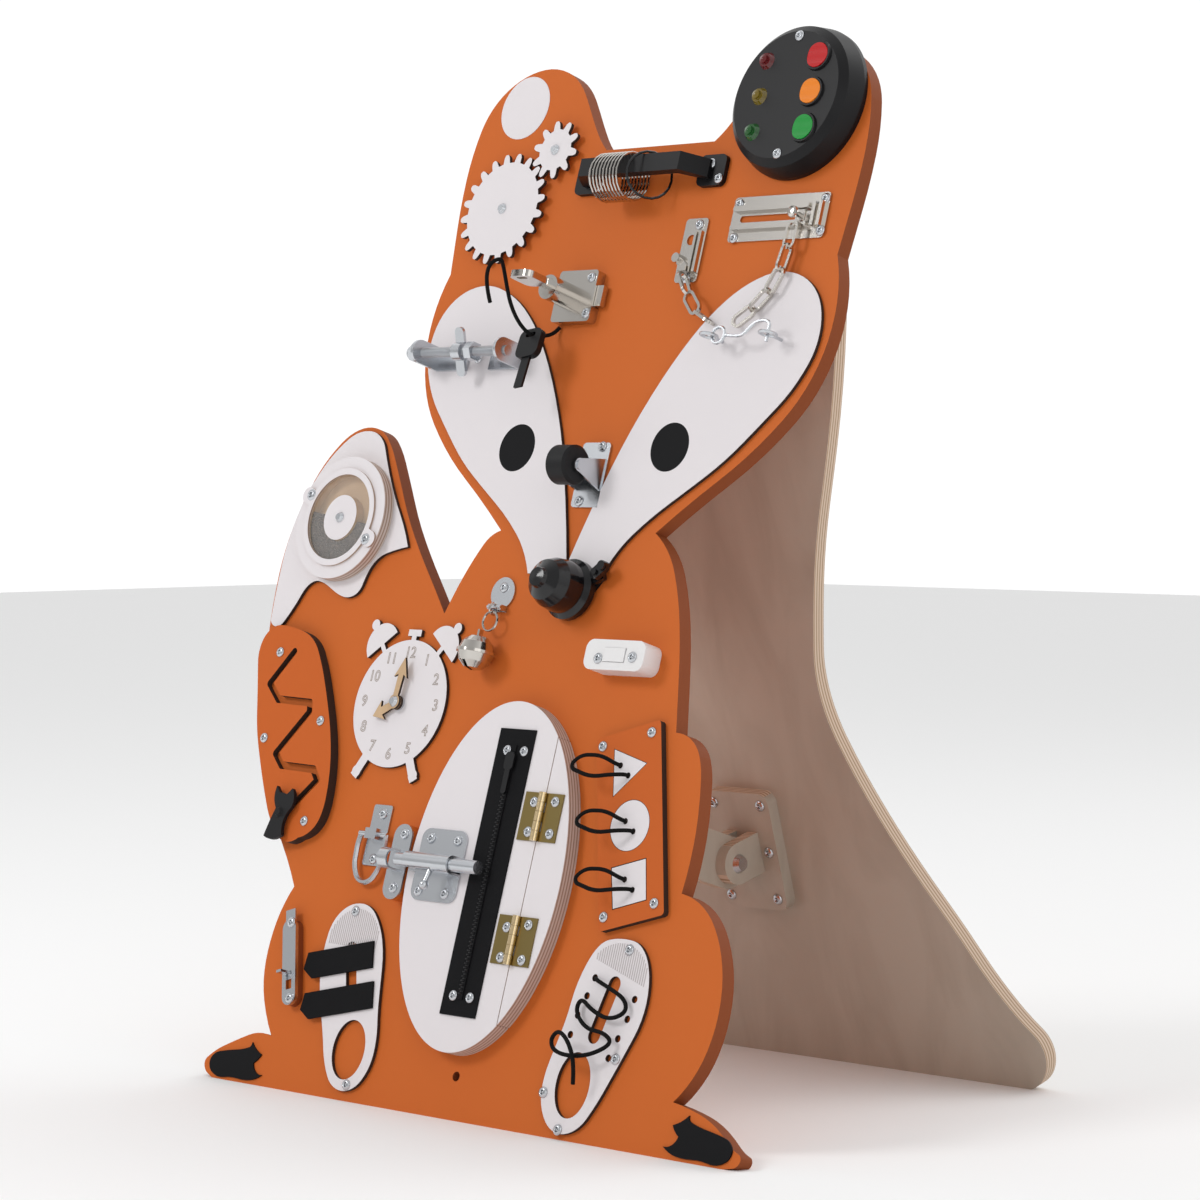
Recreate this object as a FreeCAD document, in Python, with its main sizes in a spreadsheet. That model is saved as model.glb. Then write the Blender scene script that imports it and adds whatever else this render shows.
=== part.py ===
"""Wooden busy board shaped like a woodland animal, on a hinged back leg.

Millimetres. +Z is up and +Y runs back from the front panel to the leg.
The origin is the middle of the front panel's level-cut bottom edge.
Front fittings are drawn in the panel's own frame: u to the right, v up the
leaning panel, w out of its painted face. Leg pieces use the leg's frame.
"""

import FreeCAD
import Part
import math
import os
import re

from FreeCAD import Placement, Rotation, Vector

SIZES = {
    "board_height": 800, "panel_thick": 12, "panel_lean": 17.08, "leg_lean": 16,
    "leg_spread": 383.7, "leg_thick": 12, "overlay_thick": 3, "inlay_thick": 1.2,
    "gap": 0.3, "pivot_gap": 0.05, "pivot_radius": 2, "screw_head_radius": 4.2,
    "screw_head_high": 2.2, "washer_high": 3.2,
    "gear_module": 4.2, "gear_addendum": 2.4, "gear_dedendum": 4.6, "gear_thick": 3,
    "eye_radius": 18.3,
    "grip_spacing": 125, "grip_pad_long": 26, "grip_pad_wide": 24, "grip_pad_thick": 4,
    "grip_bar_wide": 14, "grip_bar_thick": 8, "grip_rise": 27,
    "ring_radius": 17.5, "ring_wire": 2, "ring_pitch": 3.4,
    "lightbox_radius": 57, "lightbox_face": 48, "lightbox_high": 22,
    "rocker_radius": 9.2, "bezel_radius": 11.4, "bezel_high": 2, "lamp_radius": 6.6,
    "slot_plate_long": 91, "slot_plate_wide": 34, "sheet_metal": 1.5, "slot_long": 62, "slot_wide": 5,
    "keeper_plate_wide": 22, "keeper_plate_long": 49,
    "chain_wire": 2.2, "chain_link_long": 22, "chain_link_wide": 11,
    "eye_ring_radius": 6, "eye_wire": 2.5, "hook_reach": 50, "hook_drop": 14,
    "lock_case_wide": 40, "lock_case_thick": 8, "barrel_radius": 9.5, "barrel_long": 19,
    "plug_radius": 6.5, "key_thick": 5, "key_bow_wide": 22, "key_bow_long": 24,
    "rod_radius": 4, "rod_high": 22, "rod_bracket_thick": 2.5, "rod_bracket_wide": 18,
    "caster_wheel_radius": 14.5, "caster_wheel_wide": 20, "caster_high": 27,
    "bell_base_radius": 22.5, "bell_dome_radius": 19.5, "bell_dome_high": 26,
    "jingle_radius": 13.5, "jingle_high": 15,
    "clock_radius": 49, "hand_thick": 2, "minute_hand_long": 34, "hour_hand_long": 25,
    "switch_long": 58, "switch_wide": 22, "switch_high": 17,
    "drum_radius": 48.7, "drum_high": 9.2, "drum_window": 35, "drum_hub": 18, "drum_chamber": 6,
    "maze_thick": 8, "groove_wide": 6, "groove_deep": 5, "maze_travel": 33,
    "door_thick": 12, "oval_wide": 78, "oval_high": 128, "hinge_from_middle": 45.7, "door_gap": 0.8,
    "butt_wide": 38, "butt_high": 35, "butt_leaf": 1.2, "butt_knuckle": 3,
    "tape_wide": 36, "tape_high": 209, "tape_thick": 1.2, "zip_travel": 160,
    "latch_bolt_radius": 5, "latch_bolt_high": 10.5, "latch_travel": 27,
    "flush_long": 66, "flush_wide": 14, "flush_block": 5, "flush_travel": 8,
    "lacing_wide": 60, "lacing_long": 141, "lacing_thick": 5, "inset_gap": 0.4,
    "strap_wide": 20, "strap_thick": 1.6, "lace_diameter": 3,
    "bracket_wide": 65, "bracket_high": 95, "bracket_thick": 10, "bracket_up_leg": 174,
    "strut_high": 40, "strut_thick": 12, "brace_bolt_radius": 4,
}

doc = FreeCAD.newDocument("busy_board")
sheet = doc.addObject("Spreadsheet::Sheet", "sizes")
for row, (alias, value) in enumerate(SIZES.items(), start=1):
    sheet.set("A%d" % row, alias)
    sheet.set("B%d" % row, str(value))
    sheet.setAlias("B%d" % row, alias)
doc.recompute()
PIECES = []
OUT = Vector(0, 0, 1)
RIGHT = Vector(1, 0, 0)
UP = Vector(0, 1, 0)
ARC_FIT = 0.8  # how near the tangent arcs follow a smooth outline


def size(alias):
    """The value of one named size."""
    return float(sheet.get(alias))


SCALE = size("board_height") / 800
LEAN = size("panel_lean")
PANEL_T = size("panel_thick")
COVER = size("overlay_thick")
METAL = size("sheet_metal")
GAP = size("gap")
DOOR_T = size("door_thick")

# Frames: the panel's painted face, and the leg's inner face
half_foot = PANEL_T / math.cos(math.radians(LEAN)) / 2
PANEL = Placement(Vector(0, -half_foot, 0), Rotation(RIGHT, 90 - LEAN))
LEG = Placement(Vector(0, size("leg_spread"), 0), Rotation(RIGHT, 90 + size("leg_lean")))


def spot(u, v, w=0.0):
    """A place on the panel; u and v grow with the board."""
    return Vector(u * SCALE, v * SCALE, w)


def amount(value):
    """A number, a size's name, or a sum of them such as 'door_thick + gap'."""
    if not isinstance(value, str):
        return float(value)
    total, sign = 0.0, 1.0
    for word in value.split():
        if word in ("+", "-"):
            sign = 1.0 if word == "+" else -1.0
        else:
            total += sign * (size(word) if word in SIZES else float(word))
    return total


def bind(thing, prop, value):
    """Set a property, or bind it to the spreadsheet if the value names sizes."""
    if isinstance(value, str):
        thing.setExpression(prop, re.sub(r"[a-z_]+[a-z]", lambda word: "sizes." + word.group(0), value))
    else:
        setattr(thing, prop, value)


def turned(axis):
    """The rotation that takes +Z to an axis."""
    return Rotation(OUT, axis)


def cyl(radius, height, base, axis=OUT, sweep=360.0):
    thing = doc.addObject("Part::Cylinder", "cylinder")
    bind(thing, "Radius", radius)
    bind(thing, "Height", height)
    thing.Angle = sweep
    thing.Placement = Placement(base, turned(axis))
    return thing


def cone(low, high, height, base, axis=OUT):
    thing = doc.addObject("Part::Cone", "cone")
    bind(thing, "Radius1", low)
    bind(thing, "Radius2", high)
    bind(thing, "Height", height)
    thing.Placement = Placement(base, turned(axis))
    return thing


def box(long, wide, high, base, turn=None):
    """A box whose bottom face is centred on base."""
    thing = doc.addObject("Part::Box", "box")
    bind(thing, "Length", long)
    bind(thing, "Width", wide)
    bind(thing, "Height", high)
    turn = turn or Rotation()
    corner = turn.multVec(Vector(-amount(long) / 2, -amount(wide) / 2, 0))
    thing.Placement = Placement(base + corner, turn)
    return thing


def ball(radius, centre, low=-90.0, high=90.0, axis=OUT):
    thing = doc.addObject("Part::Sphere", "sphere")
    bind(thing, "Radius", radius)
    thing.Angle1 = low
    thing.Angle2 = high
    thing.Placement = Placement(centre, turned(axis))
    return thing


def fuse(*things):
    if len(things) == 1:
        return things[0]
    thing = doc.addObject("Part::MultiFuse", "fusion")
    thing.Shapes = list(things)
    thing.Refine = True
    return thing


def cut(base, *tools):
    thing = doc.addObject("Part::Cut", "cut")
    thing.Base = base
    thing.Tool = fuse(*tools)
    return thing


def solid(shape):
    """A shape that Part's own functions made."""
    thing = doc.addObject("Part::Feature", "formed")
    thing.Shape = shape
    return thing


def smooth(points):
    """One curve through all the points."""
    curve = Part.BSplineCurve()
    curve.interpolate([Vector(*(list(p) + [0])[:3]) for p in points])
    return curve


def edge(points):
    """A line through two points, an arc through three."""
    places = [Vector(*(list(p) + [0])[:3]) for p in points]
    return Part.LineSegment(*places) if len(places) == 2 else Part.Arc(*places)


def run_of(points):
    """A line, an arc, or a smooth run of tangent arcs through more points."""
    return [edge(points)] if len(points) < 4 else smooth(points).toBiArcs(ARC_FIT)


def polygon(points):
    return [edge(pair) for pair in zip(points, points[1:] + points[:1])]


def scaled(loop):
    """Outline stretches in board millimetres, grown with the board."""
    return [piece for stretch in loop for piece in run_of([(u * SCALE, v * SCALE) for u, v in stretch])]


def mirrored(stretches):
    """The same stretches across u = 0, run the other way."""
    return [[(-u, v) for u, v in reversed(s)] for s in reversed(stretches)]


def circle(radius, u=0.0, v=0.0):
    return [Part.Circle(Vector(u, v, 0), OUT, amount(radius))]


def ellipse(half_u, half_v, u=0.0, v=0.0):
    if half_u > half_v:
        return [Part.Ellipse(Vector(u + half_u, v, 0), Vector(u, v + half_v, 0), Vector(u, v, 0))]
    return [Part.Ellipse(Vector(u, v + half_v, 0), Vector(u - half_u, v, 0), Vector(u, v, 0))]


def slot(long, wide):
    """A round-ended slot along u, about the origin."""
    run, r = (amount(long) - amount(wide)) / 2, amount(wide) / 2
    right = Part.Arc(Vector(run, -r, 0), Vector(run + r, 0, 0), Vector(run, r, 0))
    left = Part.Arc(Vector(-run, r, 0), Vector(-run - r, 0, 0), Vector(-run, -r, 0))
    return [edge([(-run, -r), (run, -r)]), right, edge([(run, r), (-run, r)]), left]


def rounded(long, wide, corner):
    """A rectangle with round corners, about the origin."""
    a, b, c = amount(long) / 2, amount(wide) / 2, corner
    d = c * (1 - math.sqrt(0.5))
    loop = []
    for sx, sy in ((1, 1), (-1, 1), (-1, -1), (1, -1)):
        start, end = (a, b - c), (a - c, b)
        if sx * sy < 0:
            start, end = end, start
        bend = [Vector(sx * x, sy * y, 0) for x, y in (start, (a - d, b - d), end)]
        if loop:
            loop.append(Part.LineSegment(loop[-1].EndPoint, bend[0]))
        loop.append(Part.Arc(*bend))
    loop.append(Part.LineSegment(loop[-1].EndPoint, loop[0].StartPoint))
    return loop


def board(loops, thick, base=Vector(), turn=0.0):
    """A cut sheet: a padded sketch of closed loops, the first one outside."""
    body = doc.addObject("PartDesign::Body", "sheet")
    sketch = body.newObject("Sketcher::SketchObject", "outline")
    plane = next(f for f in body.Origin.OriginFeatures if f.Role == "XY_Plane")
    sketch.AttachmentSupport = [(plane, "")]
    sketch.MapMode = "FlatFace"
    for loop in loops:
        for stretch in loop:
            sketch.addGeometry(stretch, False)
    pad = body.newObject("PartDesign::Pad", "thickness")
    pad.Profile = sketch
    bind(pad, "Length", thick)
    body.Tip = pad
    body.Placement = Placement(base, Rotation(OUT, turn))
    return body


def turned_part(profile, base, axis=OUT):
    """A revolved body: the profile's points are (radius, height)."""
    body = doc.addObject("PartDesign::Body", "turned")
    sketch = body.newObject("Sketcher::SketchObject", "profile")
    plane = next(f for f in body.Origin.OriginFeatures if f.Role == "XZ_Plane")
    sketch.AttachmentSupport = [(plane, "")]
    sketch.MapMode = "FlatFace"
    for stretch in profile:
        sketch.addGeometry(edge(stretch), False)
    spin = body.newObject("PartDesign::Revolution", "spin")
    spin.Profile = sketch
    spin.ReferenceAxis = (sketch, ["V_Axis"])
    spin.Angle = 360
    body.Tip = spin
    body.Placement = Placement(base, turned(axis))
    return body


def lathe(points, base, axis=OUT):
    return turned_part([list(pair) for pair in zip(points, points[1:] + points[:1])], base, axis)


def thin_ring(radius, wire, centre, axis, sides=6, around=20):
    """A ring of faceted wire: flat faces between equal stations."""
    frame = Placement(centre, turned(axis))
    rows = []
    for m in range(around):
        spin = Rotation(OUT, 360.0 * m / around)
        rows.append([frame.multVec(spin.multVec(Vector(radius + wire / 2 * math.cos(2 * math.pi * n / sides), 0,
                                                       wire / 2 * math.sin(2 * math.pi * n / sides))))
                     for n in range(sides)])
    faces = []
    for m in range(around):
        here, after = rows[m], rows[(m + 1) % around]
        for n in range(sides):
            k = (n + 1) % sides
            faces.append(Part.Face(Part.makePolygon([here[n], after[n], after[k], here[k], here[n]])))
    ring = Part.Solid(Part.Shell(faces))
    if ring.Volume < 0:
        ring.reverse()
    return solid(ring)


def screw(base, axis=OUT):
    """A round-headed pivot screw's head."""
    return cone("screw_head_radius", 2.6, "screw_head_high", base, axis)


def cord(points, diameter, bend=0.45):
    """A six-sided cord: straight runs joined by tangent arcs as large as the runs allow."""
    places = [Vector(*p) for p in points]
    path, at, radii = [], places[0], []
    for before, here, after in zip(places, places[1:], places[2:]):
        a, b = before - here, after - here
        half = (math.pi - a.getAngle(b)) / 2
        trim = bend * min(a.Length, b.Length)
        radii.append(trim / math.tan(half))
        a.normalize()
        b.normalize()
        middle = a + b
        middle.normalize()
        reach = radii[-1] / math.cos(half) - radii[-1]
        start, end = here + a * trim, here + b * trim
        path += [Part.LineSegment(at, start).toShape(), Part.Arc(start, here + middle * reach, end).toShape()]
        at = end
    path.append(Part.LineSegment(at, places[-1]).toShape())
    along = places[1] - places[0]
    side = along.cross(OUT if abs(along.z) < 0.9 * along.Length else RIGHT)
    side.normalize()
    ring = [places[0] + Rotation(along, 60 * n).multVec(side * (diameter / 2)) for n in range(7)]
    pipe = Part.BRepOffsetAPI.MakePipeShell(Part.Wire(path))
    pipe.add(Part.makePolygon(ring))
    pipe.build()
    pipe.makeSolid()
    print("cord: smallest radius %.1f, length %.0f" % (min(radii), sum(e.Length for e in path)))
    return solid(pipe.shape())


def keep(label, *things, frame=PANEL):
    """Name a sub-part and put it in its place."""
    whole = things[0]
    if len(things) > 1:
        whole = doc.addObject("Part::Compound", "group")
        whole.Links = list(things)
    whole.Label = label
    doc.recompute()
    whole.Placement = frame.multiply(whole.Placement)
    PIECES.append(whole)
    return whole


def floor_cut(frame):
    """A block under the floor, seen from a frame, that trims a foot level."""
    block = box(1200, 1200, 60, Vector(0, 0, -60))
    block.Placement = frame.inverse().multiply(block.Placement)
    return block


# Front panel: one sheet of ply, smooth lobes that meet in sharp notches
left_edge = [
    [(-250, 0), (-268, 3), (-274, 10), (-268, 18), (-250, 28), (-233, 36), (-206, 38)],
    [(-206, 38), (-220, 58), (-229, 80), (-231, 105), (-227, 130), (-218, 151)],
    [(-218, 151), (-247, 188), (-268, 214), (-293, 262), (-309, 320), (-317, 380), (-314, 430),
     (-293, 482), (-262, 511), (-235, 510), (-212, 486), (-180, 437), (-140, 390), (-120, 367)],
    [(-120, 367), (-111, 390), (-101, 410), (-91, 425), (-79, 432)],
    [(-79, 432), (-120, 464), (-160, 497), (-195, 540), (-206, 590), (-197, 636)],
]
head_top = [
    [(-197, 636), (-203, 710), (-184, 780), (-140, 799.5), (-105, 790), (-80, 760), (-55, 729)],
    [(-55, 729), (55, 729)],
]
right_edge = [
    [(79, 432), (100, 412), (113, 388), (124, 355), (132, 322), (139, 289)],
    [(139, 289), (158, 283), (173, 248), (177, 200), (175, 178)],
    [(175, 178), (207, 163), (228, 122), (228, 78), (206, 38)],
    [(206, 38), (230, 33), (252, 24), (268, 13), (275, 7), (268, 2), (250, 0)],
    [(250, 0), (-250, 0)],
]
outline = left_edge + head_top + mirrored(head_top[:1]) + mirrored(left_edge[4:]) + right_edge
panel_plate = board([scaled(outline), circle(3.5, -3 * SCALE, 31 * SCALE)], "panel_thick", Vector(0, 0, -PANEL_T))
doc.recompute()
flush_turn = 17.6
flush_spot = spot(-196, 93.6)
flush_block = board([slot("flush_long", "flush_wide")], "flush_block", flush_spot, flush_turn + 90)
keep("front_panel", cut(panel_plate, floor_cut(PANEL)), flush_block)

# Back leg: a flared sheet, trimmed level at the floor and flush against the panel
foot_z = size("leg_spread") - half_foot
leg_rise = foot_z / (math.tan(math.radians(LEAN)) + math.tan(math.radians(size("leg_lean"))))
LEG_TOP = leg_rise / math.cos(math.radians(size("leg_lean")))
leg_half = [
    (195, 0), (222, 6), (231, 28), (211, 57), (178, 104), (145, 152), (119, 194), (97, 236), (82, 275),
    (76, 315), (82, 351), (96, 404), (115, 457), (129, 492), (147, 543), (178, LEG_TOP / SCALE + 14),
]
leg_side = [[(195, -6), (195, 0)], leg_half]
leg_top = [[leg_half[-1], (-leg_half[-1][0], leg_half[-1][1])]]
leg_plate = board([scaled(leg_side + leg_top + mirrored(leg_side) + [[(-195, -6), (195, -6)]])],
                  "leg_thick", Vector(0, 0, -size("leg_thick")))
in_front = box(1200, 1200, 200, spot(0, 600, -PANEL_T))
in_front.Placement = LEG.inverse().multiply(PANEL).multiply(in_front.Placement)
keep("stand_leg", cut(leg_plate, floor_cut(LEG), in_front), frame=LEG)

# Brace: a bracket on the leg, a strut square to the panel and a bolt
BRACE_U = -21 * SCALE
ear = size("strut_high") / 2
ear_reach = 26.0
leg_pivot = Vector(BRACE_U, size("bracket_up_leg") * SCALE, size("bracket_thick") + ear_reach)
pivot = LEG.multVec(leg_pivot)
across = PANEL.Rotation.multVec(OUT)
strut_long = across.dot(PANEL.multVec(Vector(0, 0, -PANEL_T)) - pivot)
strut_frame = Placement(pivot, Rotation(across, PANEL.Rotation.multVec(UP), RIGHT * -1, "XYZ"))
plate = board([rounded("bracket_wide", "bracket_high", 9)], "bracket_thick", Vector(BRACE_U, leg_pivot.y, 0))
parts = [plate]
ear_gap = size("strut_thick") / 2
for side in (-1, 1):
    inner = BRACE_U + side * ear_gap + (10 if side > 0 else 0)
    knuckle = [edge([(ear_reach, ear * 0.8), (0, ear * 0.8)]),
               Part.Arc(Vector(ear_reach, -ear * 0.8, 0), Vector(ear_reach + ear * 0.8, 0, 0),
                        Vector(ear_reach, ear * 0.8, 0)),
               edge([(0, -ear * 0.8), (ear_reach, -ear * 0.8)]), edge([(0, ear * 0.8), (0, -ear * 0.8)])]
    lobe = board([knuckle, circle("brace_bolt_radius", ear_reach)], 10)
    lobe.Placement = Placement(Vector(inner, leg_pivot.y, size("bracket_thick")),
                               Rotation(OUT, UP, RIGHT * -1, "XYZ"))
    parts.append(lobe)
brace_plate = fuse(*parts)
brace_plate.Placement = LEG
strut_loop = [edge([(0, -ear), (strut_long, -ear)]), edge([(strut_long, -ear), (strut_long, ear)]),
              edge([(strut_long, ear), (0, ear)]),
              Part.Arc(Vector(0, ear, 0), Vector(-ear, 0, 0), Vector(0, -ear, 0))]
strut = board([strut_loop, circle("brace_bolt_radius")], "strut_thick", Vector(0, 0, -ear_gap))
strut.Placement = strut_frame.multiply(strut.Placement)
keep("stand_brace", brace_plate, strut, frame=Placement())

shank = cyl("brace_bolt_radius - pivot_gap", 2 * (ear_gap + 10), Vector(0, 0, -ear_gap - 10))
head = cone(7.5, 5, 4, Vector(0, 0, -ear_gap - 10), OUT * -1)
nut = board([polygon([(7.2 * math.cos(a * math.pi / 3), 7.2 * math.sin(a * math.pi / 3)) for a in range(6)])],
            6, Vector(0, 0, ear_gap + 10))
brace_bolt = fuse(shank, head, nut)
brace_bolt.Placement = strut_frame
top_hinges = []
for side in (-1, 1):
    seam = PANEL.inverse().multVec(LEG.multVec(Vector(0, LEG_TOP, 0)))
    barrel_w = -PANEL_T - size("butt_knuckle")
    place = Vector(side * 110 * SCALE, seam.y - 16, barrel_w)
    pin = cyl("butt_knuckle", 60, place - RIGHT * 30, RIGHT)
    leaf = box(60, 26, 1.6, Vector(place.x, place.y - 13, -PANEL_T - 1.6))
    top_hinges.append(fuse(pin, leaf))
for hinge in top_hinges:
    hinge.Placement = PANEL
keep("stand_hardware", brace_bolt, *top_hinges, frame=Placement())

# Painted covers: white cheeks, tail tip and black inlays
cheek = [
    [(-38, 399), (-45, 412), (-57, 427), (-97, 458), (-127, 479), (-170, 522), (-197, 565), (-196, 592),
     (-180, 615), (-152, 624), (-117, 614), (-87, 589), (-52, 539), (-15, 454), (-1, 409)],
    [(-1, 409), (-1, 399)],
    [(-1, 399), (-38, 399)],
]
eye_u, eye_v = 78 * SCALE, 495 * SCALE
CASTER = spot(4, 474.5)
caster_notch = box(28.6, 49.6, 20, CASTER - OUT)
left_cheek = board([scaled(cheek), circle("eye_radius + pivot_gap", -eye_u, eye_v)], "overlay_thick")
right_cheek = board([scaled(mirrored(cheek)), circle("eye_radius + pivot_gap", eye_u, eye_v)], "overlay_thick")
tail_tip = [
    [(-247, 509), (-232, 504), (-222, 491), (-202, 459), (-187, 439), (-173, 417)],
    [(-173, 417), (-192, 413), (-204, 407), (-212, 394), (-219, 379), (-229, 376), (-257, 386), (-274, 387),
     (-284, 372), (-297, 353), (-303, 350), (-311, 355)],
    [(-311, 355), (-313, 385), (-311, 425), (-300, 462), (-278, 494), (-262, 506), (-247, 509)],
]
white_tip = board([scaled(tail_tip)], "overlay_thick")

claw = [
    [(224, 31), (250, 22), (267, 12), (266, 8), (240, 3), (222, 2), (206, 8)],
    [(206, 8), (216, 12), (218, 16)],
    [(218, 16), (214, 19), (211, 23)],
    [(211, 23), (216, 25), (224, 31)],
]
nose = [[(-30, 398), (0, 398.4), (40, 398)], [(40, 398), (30, 385), (14, 372), (-6, 371), (-22, 382), (-30, 398)]]
eyes = [board([circle("eye_radius", s * eye_u, eye_v)], "overlay_thick") for s in (-1, 1)]
claws = [board([scaled(claw)], "inlay_thick"), board([scaled(mirrored(claw))], "inlay_thick")]
keep("black_covers", *eyes, *claws, board([scaled(nose)], "overlay_thick - gap"))

# Gear pair on shouldered screws
GEAR_W = size("washer_high") + GAP
pitch_large = size("gear_module") * 20 / 2
pitch_small = size("gear_module") * 10 / 2
mesh_angle = 45.6
large_spot = spot(-148, 685)
small_spot = large_spot + Rotation(OUT, mesh_angle).multVec(RIGHT * (pitch_large + pitch_small))


def gear(teeth, spot_at, first):
    """A flat wooden gear with straight-flanked teeth."""
    pitch = size("gear_module") * teeth / 2
    root, tip = pitch - size("gear_dedendum"), pitch + size("gear_addendum")
    points = []
    for n in range(teeth):
        centre = math.radians(first + 360 * n / teeth)
        for radius, half in ((root, -3.4), (pitch, -2.7), (tip - 0.8, -1.9), (tip, -1.1),
                             (tip, 1.1), (tip - 0.8, 1.9), (pitch, 2.7), (root, 3.4)):
            angle = centre + half / radius
            points.append((radius * math.cos(angle), radius * math.sin(angle)))
    bore = circle("pivot_radius + pivot_gap")
    return board([polygon(points), bore], "gear_thick", Vector(spot_at.x, spot_at.y, GEAR_W))


keep("gear_large", gear(20, large_spot, mesh_angle))
keep("gear_small", gear(10, small_spot, mesh_angle + 180 + 18))


def pivot_post(where, low, collar_high, top):
    """A shouldered screw: collar, shank and head."""
    base = Vector(where.x, where.y, low)
    shoulder = cyl(5.5, collar_high, base)
    stem = cyl("pivot_radius", top - low, base)
    return fuse(shoulder, stem, screw(Vector(where.x, where.y, top)))


clock_spot = spot(-143.7, 296)
drum_spot = spot(-246.3, 436.6)
hour_w = COVER + 1.8
minute_w = hour_w + size("hand_thick") + GAP
gear_top = GEAR_W + size("gear_thick") + GAP
drum_w = COVER + GAP
posts = [
    pivot_post(large_spot, 0, size("washer_high"), gear_top),
    pivot_post(small_spot, 0, size("washer_high"), gear_top),
    pivot_post(clock_spot, COVER, 1.5, minute_w + size("hand_thick") + GAP),
    fuse(cyl("pivot_radius", size("drum_high") + 2 * GAP, Vector(drum_spot.x, drum_spot.y, COVER)),
         screw(Vector(drum_spot.x, drum_spot.y, COVER + size("drum_high") + 2 * GAP))),
]
keep("pivot_screws", *posts)

# Grab handle with ten metal rings on its bar
GRIP = spot(-0.5, 705)
half_grip = size("grip_spacing") / 2
bar_mid = size("grip_rise") - size("grip_bar_thick") / 2
pads = [board([rounded("grip_pad_long", "grip_pad_wide", 5)], "grip_pad_thick",
              GRIP + Vector(s * half_grip, 0, 0)) for s in (-1, 1)]
arch_low = size("grip_rise") - size("grip_bar_thick")
inner, outer = half_grip - 18, half_grip + 1
arch = polygon([(-outer, 3), (-outer + 4, 3), (-inner, arch_low), (inner, arch_low), (outer - 4, 3), (outer, 3),
                (outer, 8), (inner + 6, size("grip_rise")), (-inner - 6, size("grip_rise")), (-outer, 8)])
strap = board([arch], "grip_bar_wide")
strap.Placement = Placement(GRIP + Vector(0, size("grip_bar_wide") / 2, 0), Rotation(RIGHT, 90))
keep("grab_handle", fuse(strap, *pads))

ring_centre = Vector(0, GRIP.y - 7.4, bar_mid - 2.3)


rings = [thin_ring(size("ring_radius"), size("ring_wire"), ring_centre + RIGHT * (-27 + n * size("ring_pitch")), RIGHT)
         for n in range(9)]
lean_axis = Vector(math.cos(math.radians(28)), 0, math.sin(math.radians(28)))
leaning_ring = thin_ring(size("ring_radius"), size("ring_wire"), ring_centre + RIGHT * 17, lean_axis)
keep("grip_rings", *rings, leaning_ring)

# Light box: a round tapered cap with three lamps and three rockers
LIGHT = spot(137, 751)
r_base, r_face, h_box = size("lightbox_radius"), size("lightbox_face"), size("lightbox_high")
shell = turned_part([[(0, 0), (r_base, 0)], [(r_base, 0), (r_base, 4)],
                     [(r_base, 4), (r_base - 3.5, h_box - 5)],
                     [(r_base - 3.5, h_box - 5), (r_face, h_box)], [(r_face, h_box), (0, h_box)],
                     [(0, h_box), (0, 0)]], LIGHT)
rows = (27.0, 0.0, -27.0)
wells = [cyl("bezel_radius - 1", 8, LIGHT + Vector(24.5, v, h_box - 8)) for v in rows]
keep("light_box", cut(shell, *wells))
bezels = [lathe([(size("rocker_radius") + GAP, -7), (size("bezel_radius") - 1, -7), (size("bezel_radius") - 1, 0),
                 (size("bezel_radius"), 0), (size("bezel_radius") - 0.6, size("bezel_high")),
                 (size("rocker_radius") + GAP, size("bezel_high"))],
                LIGHT + Vector(24.5, v, h_box)) for v in rows]
lamps = [lathe([(0, 0), (size("lamp_radius"), 0), (size("lamp_radius") - 1.6, 3), (3.6, 3),
                (3.2, 5), (0, 6.4)], LIGHT + Vector(-24.5, v, h_box)) for v in rows]
keep("box_fittings", *bezels, *lamps)
for v, colour in zip(rows, ("red", "amber", "green")):
    middle = LIGHT + Vector(24.5, v, h_box)
    paddle = fuse(cyl("rocker_radius", 2.6, middle + OUT * 0.2), box(9, 9, 4, middle - OUT * 3.6))
    scoop = cyl(26, 30, middle + Vector(-15, 0, 28), RIGHT)
    keep("rocker_" + colour, cut(paddle, scoop))

# Door chain: slotted plate, sliding button, keeper and hanging chain
PLATE = spot(135.5, 666)
slot_mid = PLATE + Vector(-6, 0, 0)
RAIL_W = 4.0


def shifted(loop, u, v=0.0):
    """The same loop of curves, moved."""
    moved = [curve.copy() for curve in loop]
    for curve in moved:
        curve.translate(Vector(u, v, 0))
    return moved


plate = board([rounded("slot_plate_long", "slot_plate_wide", 3),
               shifted(slot("slot_long", "slot_wide"), -6)], "sheet_metal", PLATE)
rails = [board([rounded("slot_long + 10", 4, 1.5)], RAIL_W, PLATE + Vector(-6, s * 7, METAL)) for s in (-1, 1)]
ribs = [box(3, 18, 5, PLATE + Vector(u, 0, METAL)) for u in (36, 42)]
slot_plate = fuse(plate, *rails, *ribs)
KEEPER = spot(56.5, 644.5)
plate = board([rounded("keeper_plate_wide", "keeper_plate_long", 3), circle(4, -2.5, 8)], "sheet_metal", KEEPER)
ribs = [box(2.4, 31, 4, KEEPER + Vector(u, -2, METAL)) for u in (4.5, 9)]
arm = box(16, 6, 2, KEEPER + Vector(-4, -12, METAL), Rotation(OUT, 140))
knob = cyl(3.6, 5, KEEPER + Vector(-10, -6.5, METAL))
tab = box(8, 4, 8, KEEPER + Vector(1, -16, METAL))
keep("chain_plates", slot_plate, fuse(plate, arm, knob, tab, *ribs))
button_u = slot_mid.x + 27
foot = box(8, 9, 1.1, Vector(button_u, PLATE.y, METAL + GAP))
stem = cyl(2, 9.5, Vector(button_u, PLATE.y, GAP))
knob = lathe([(0, 0), (3.4, 0), (4.4, 1.4), (4, 3), (2.4, 4), (0, 4.3)], Vector(button_u, PLATE.y, METAL + GAP + 7))
keep("chain_slider", fuse(foot, stem, knob))


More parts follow.
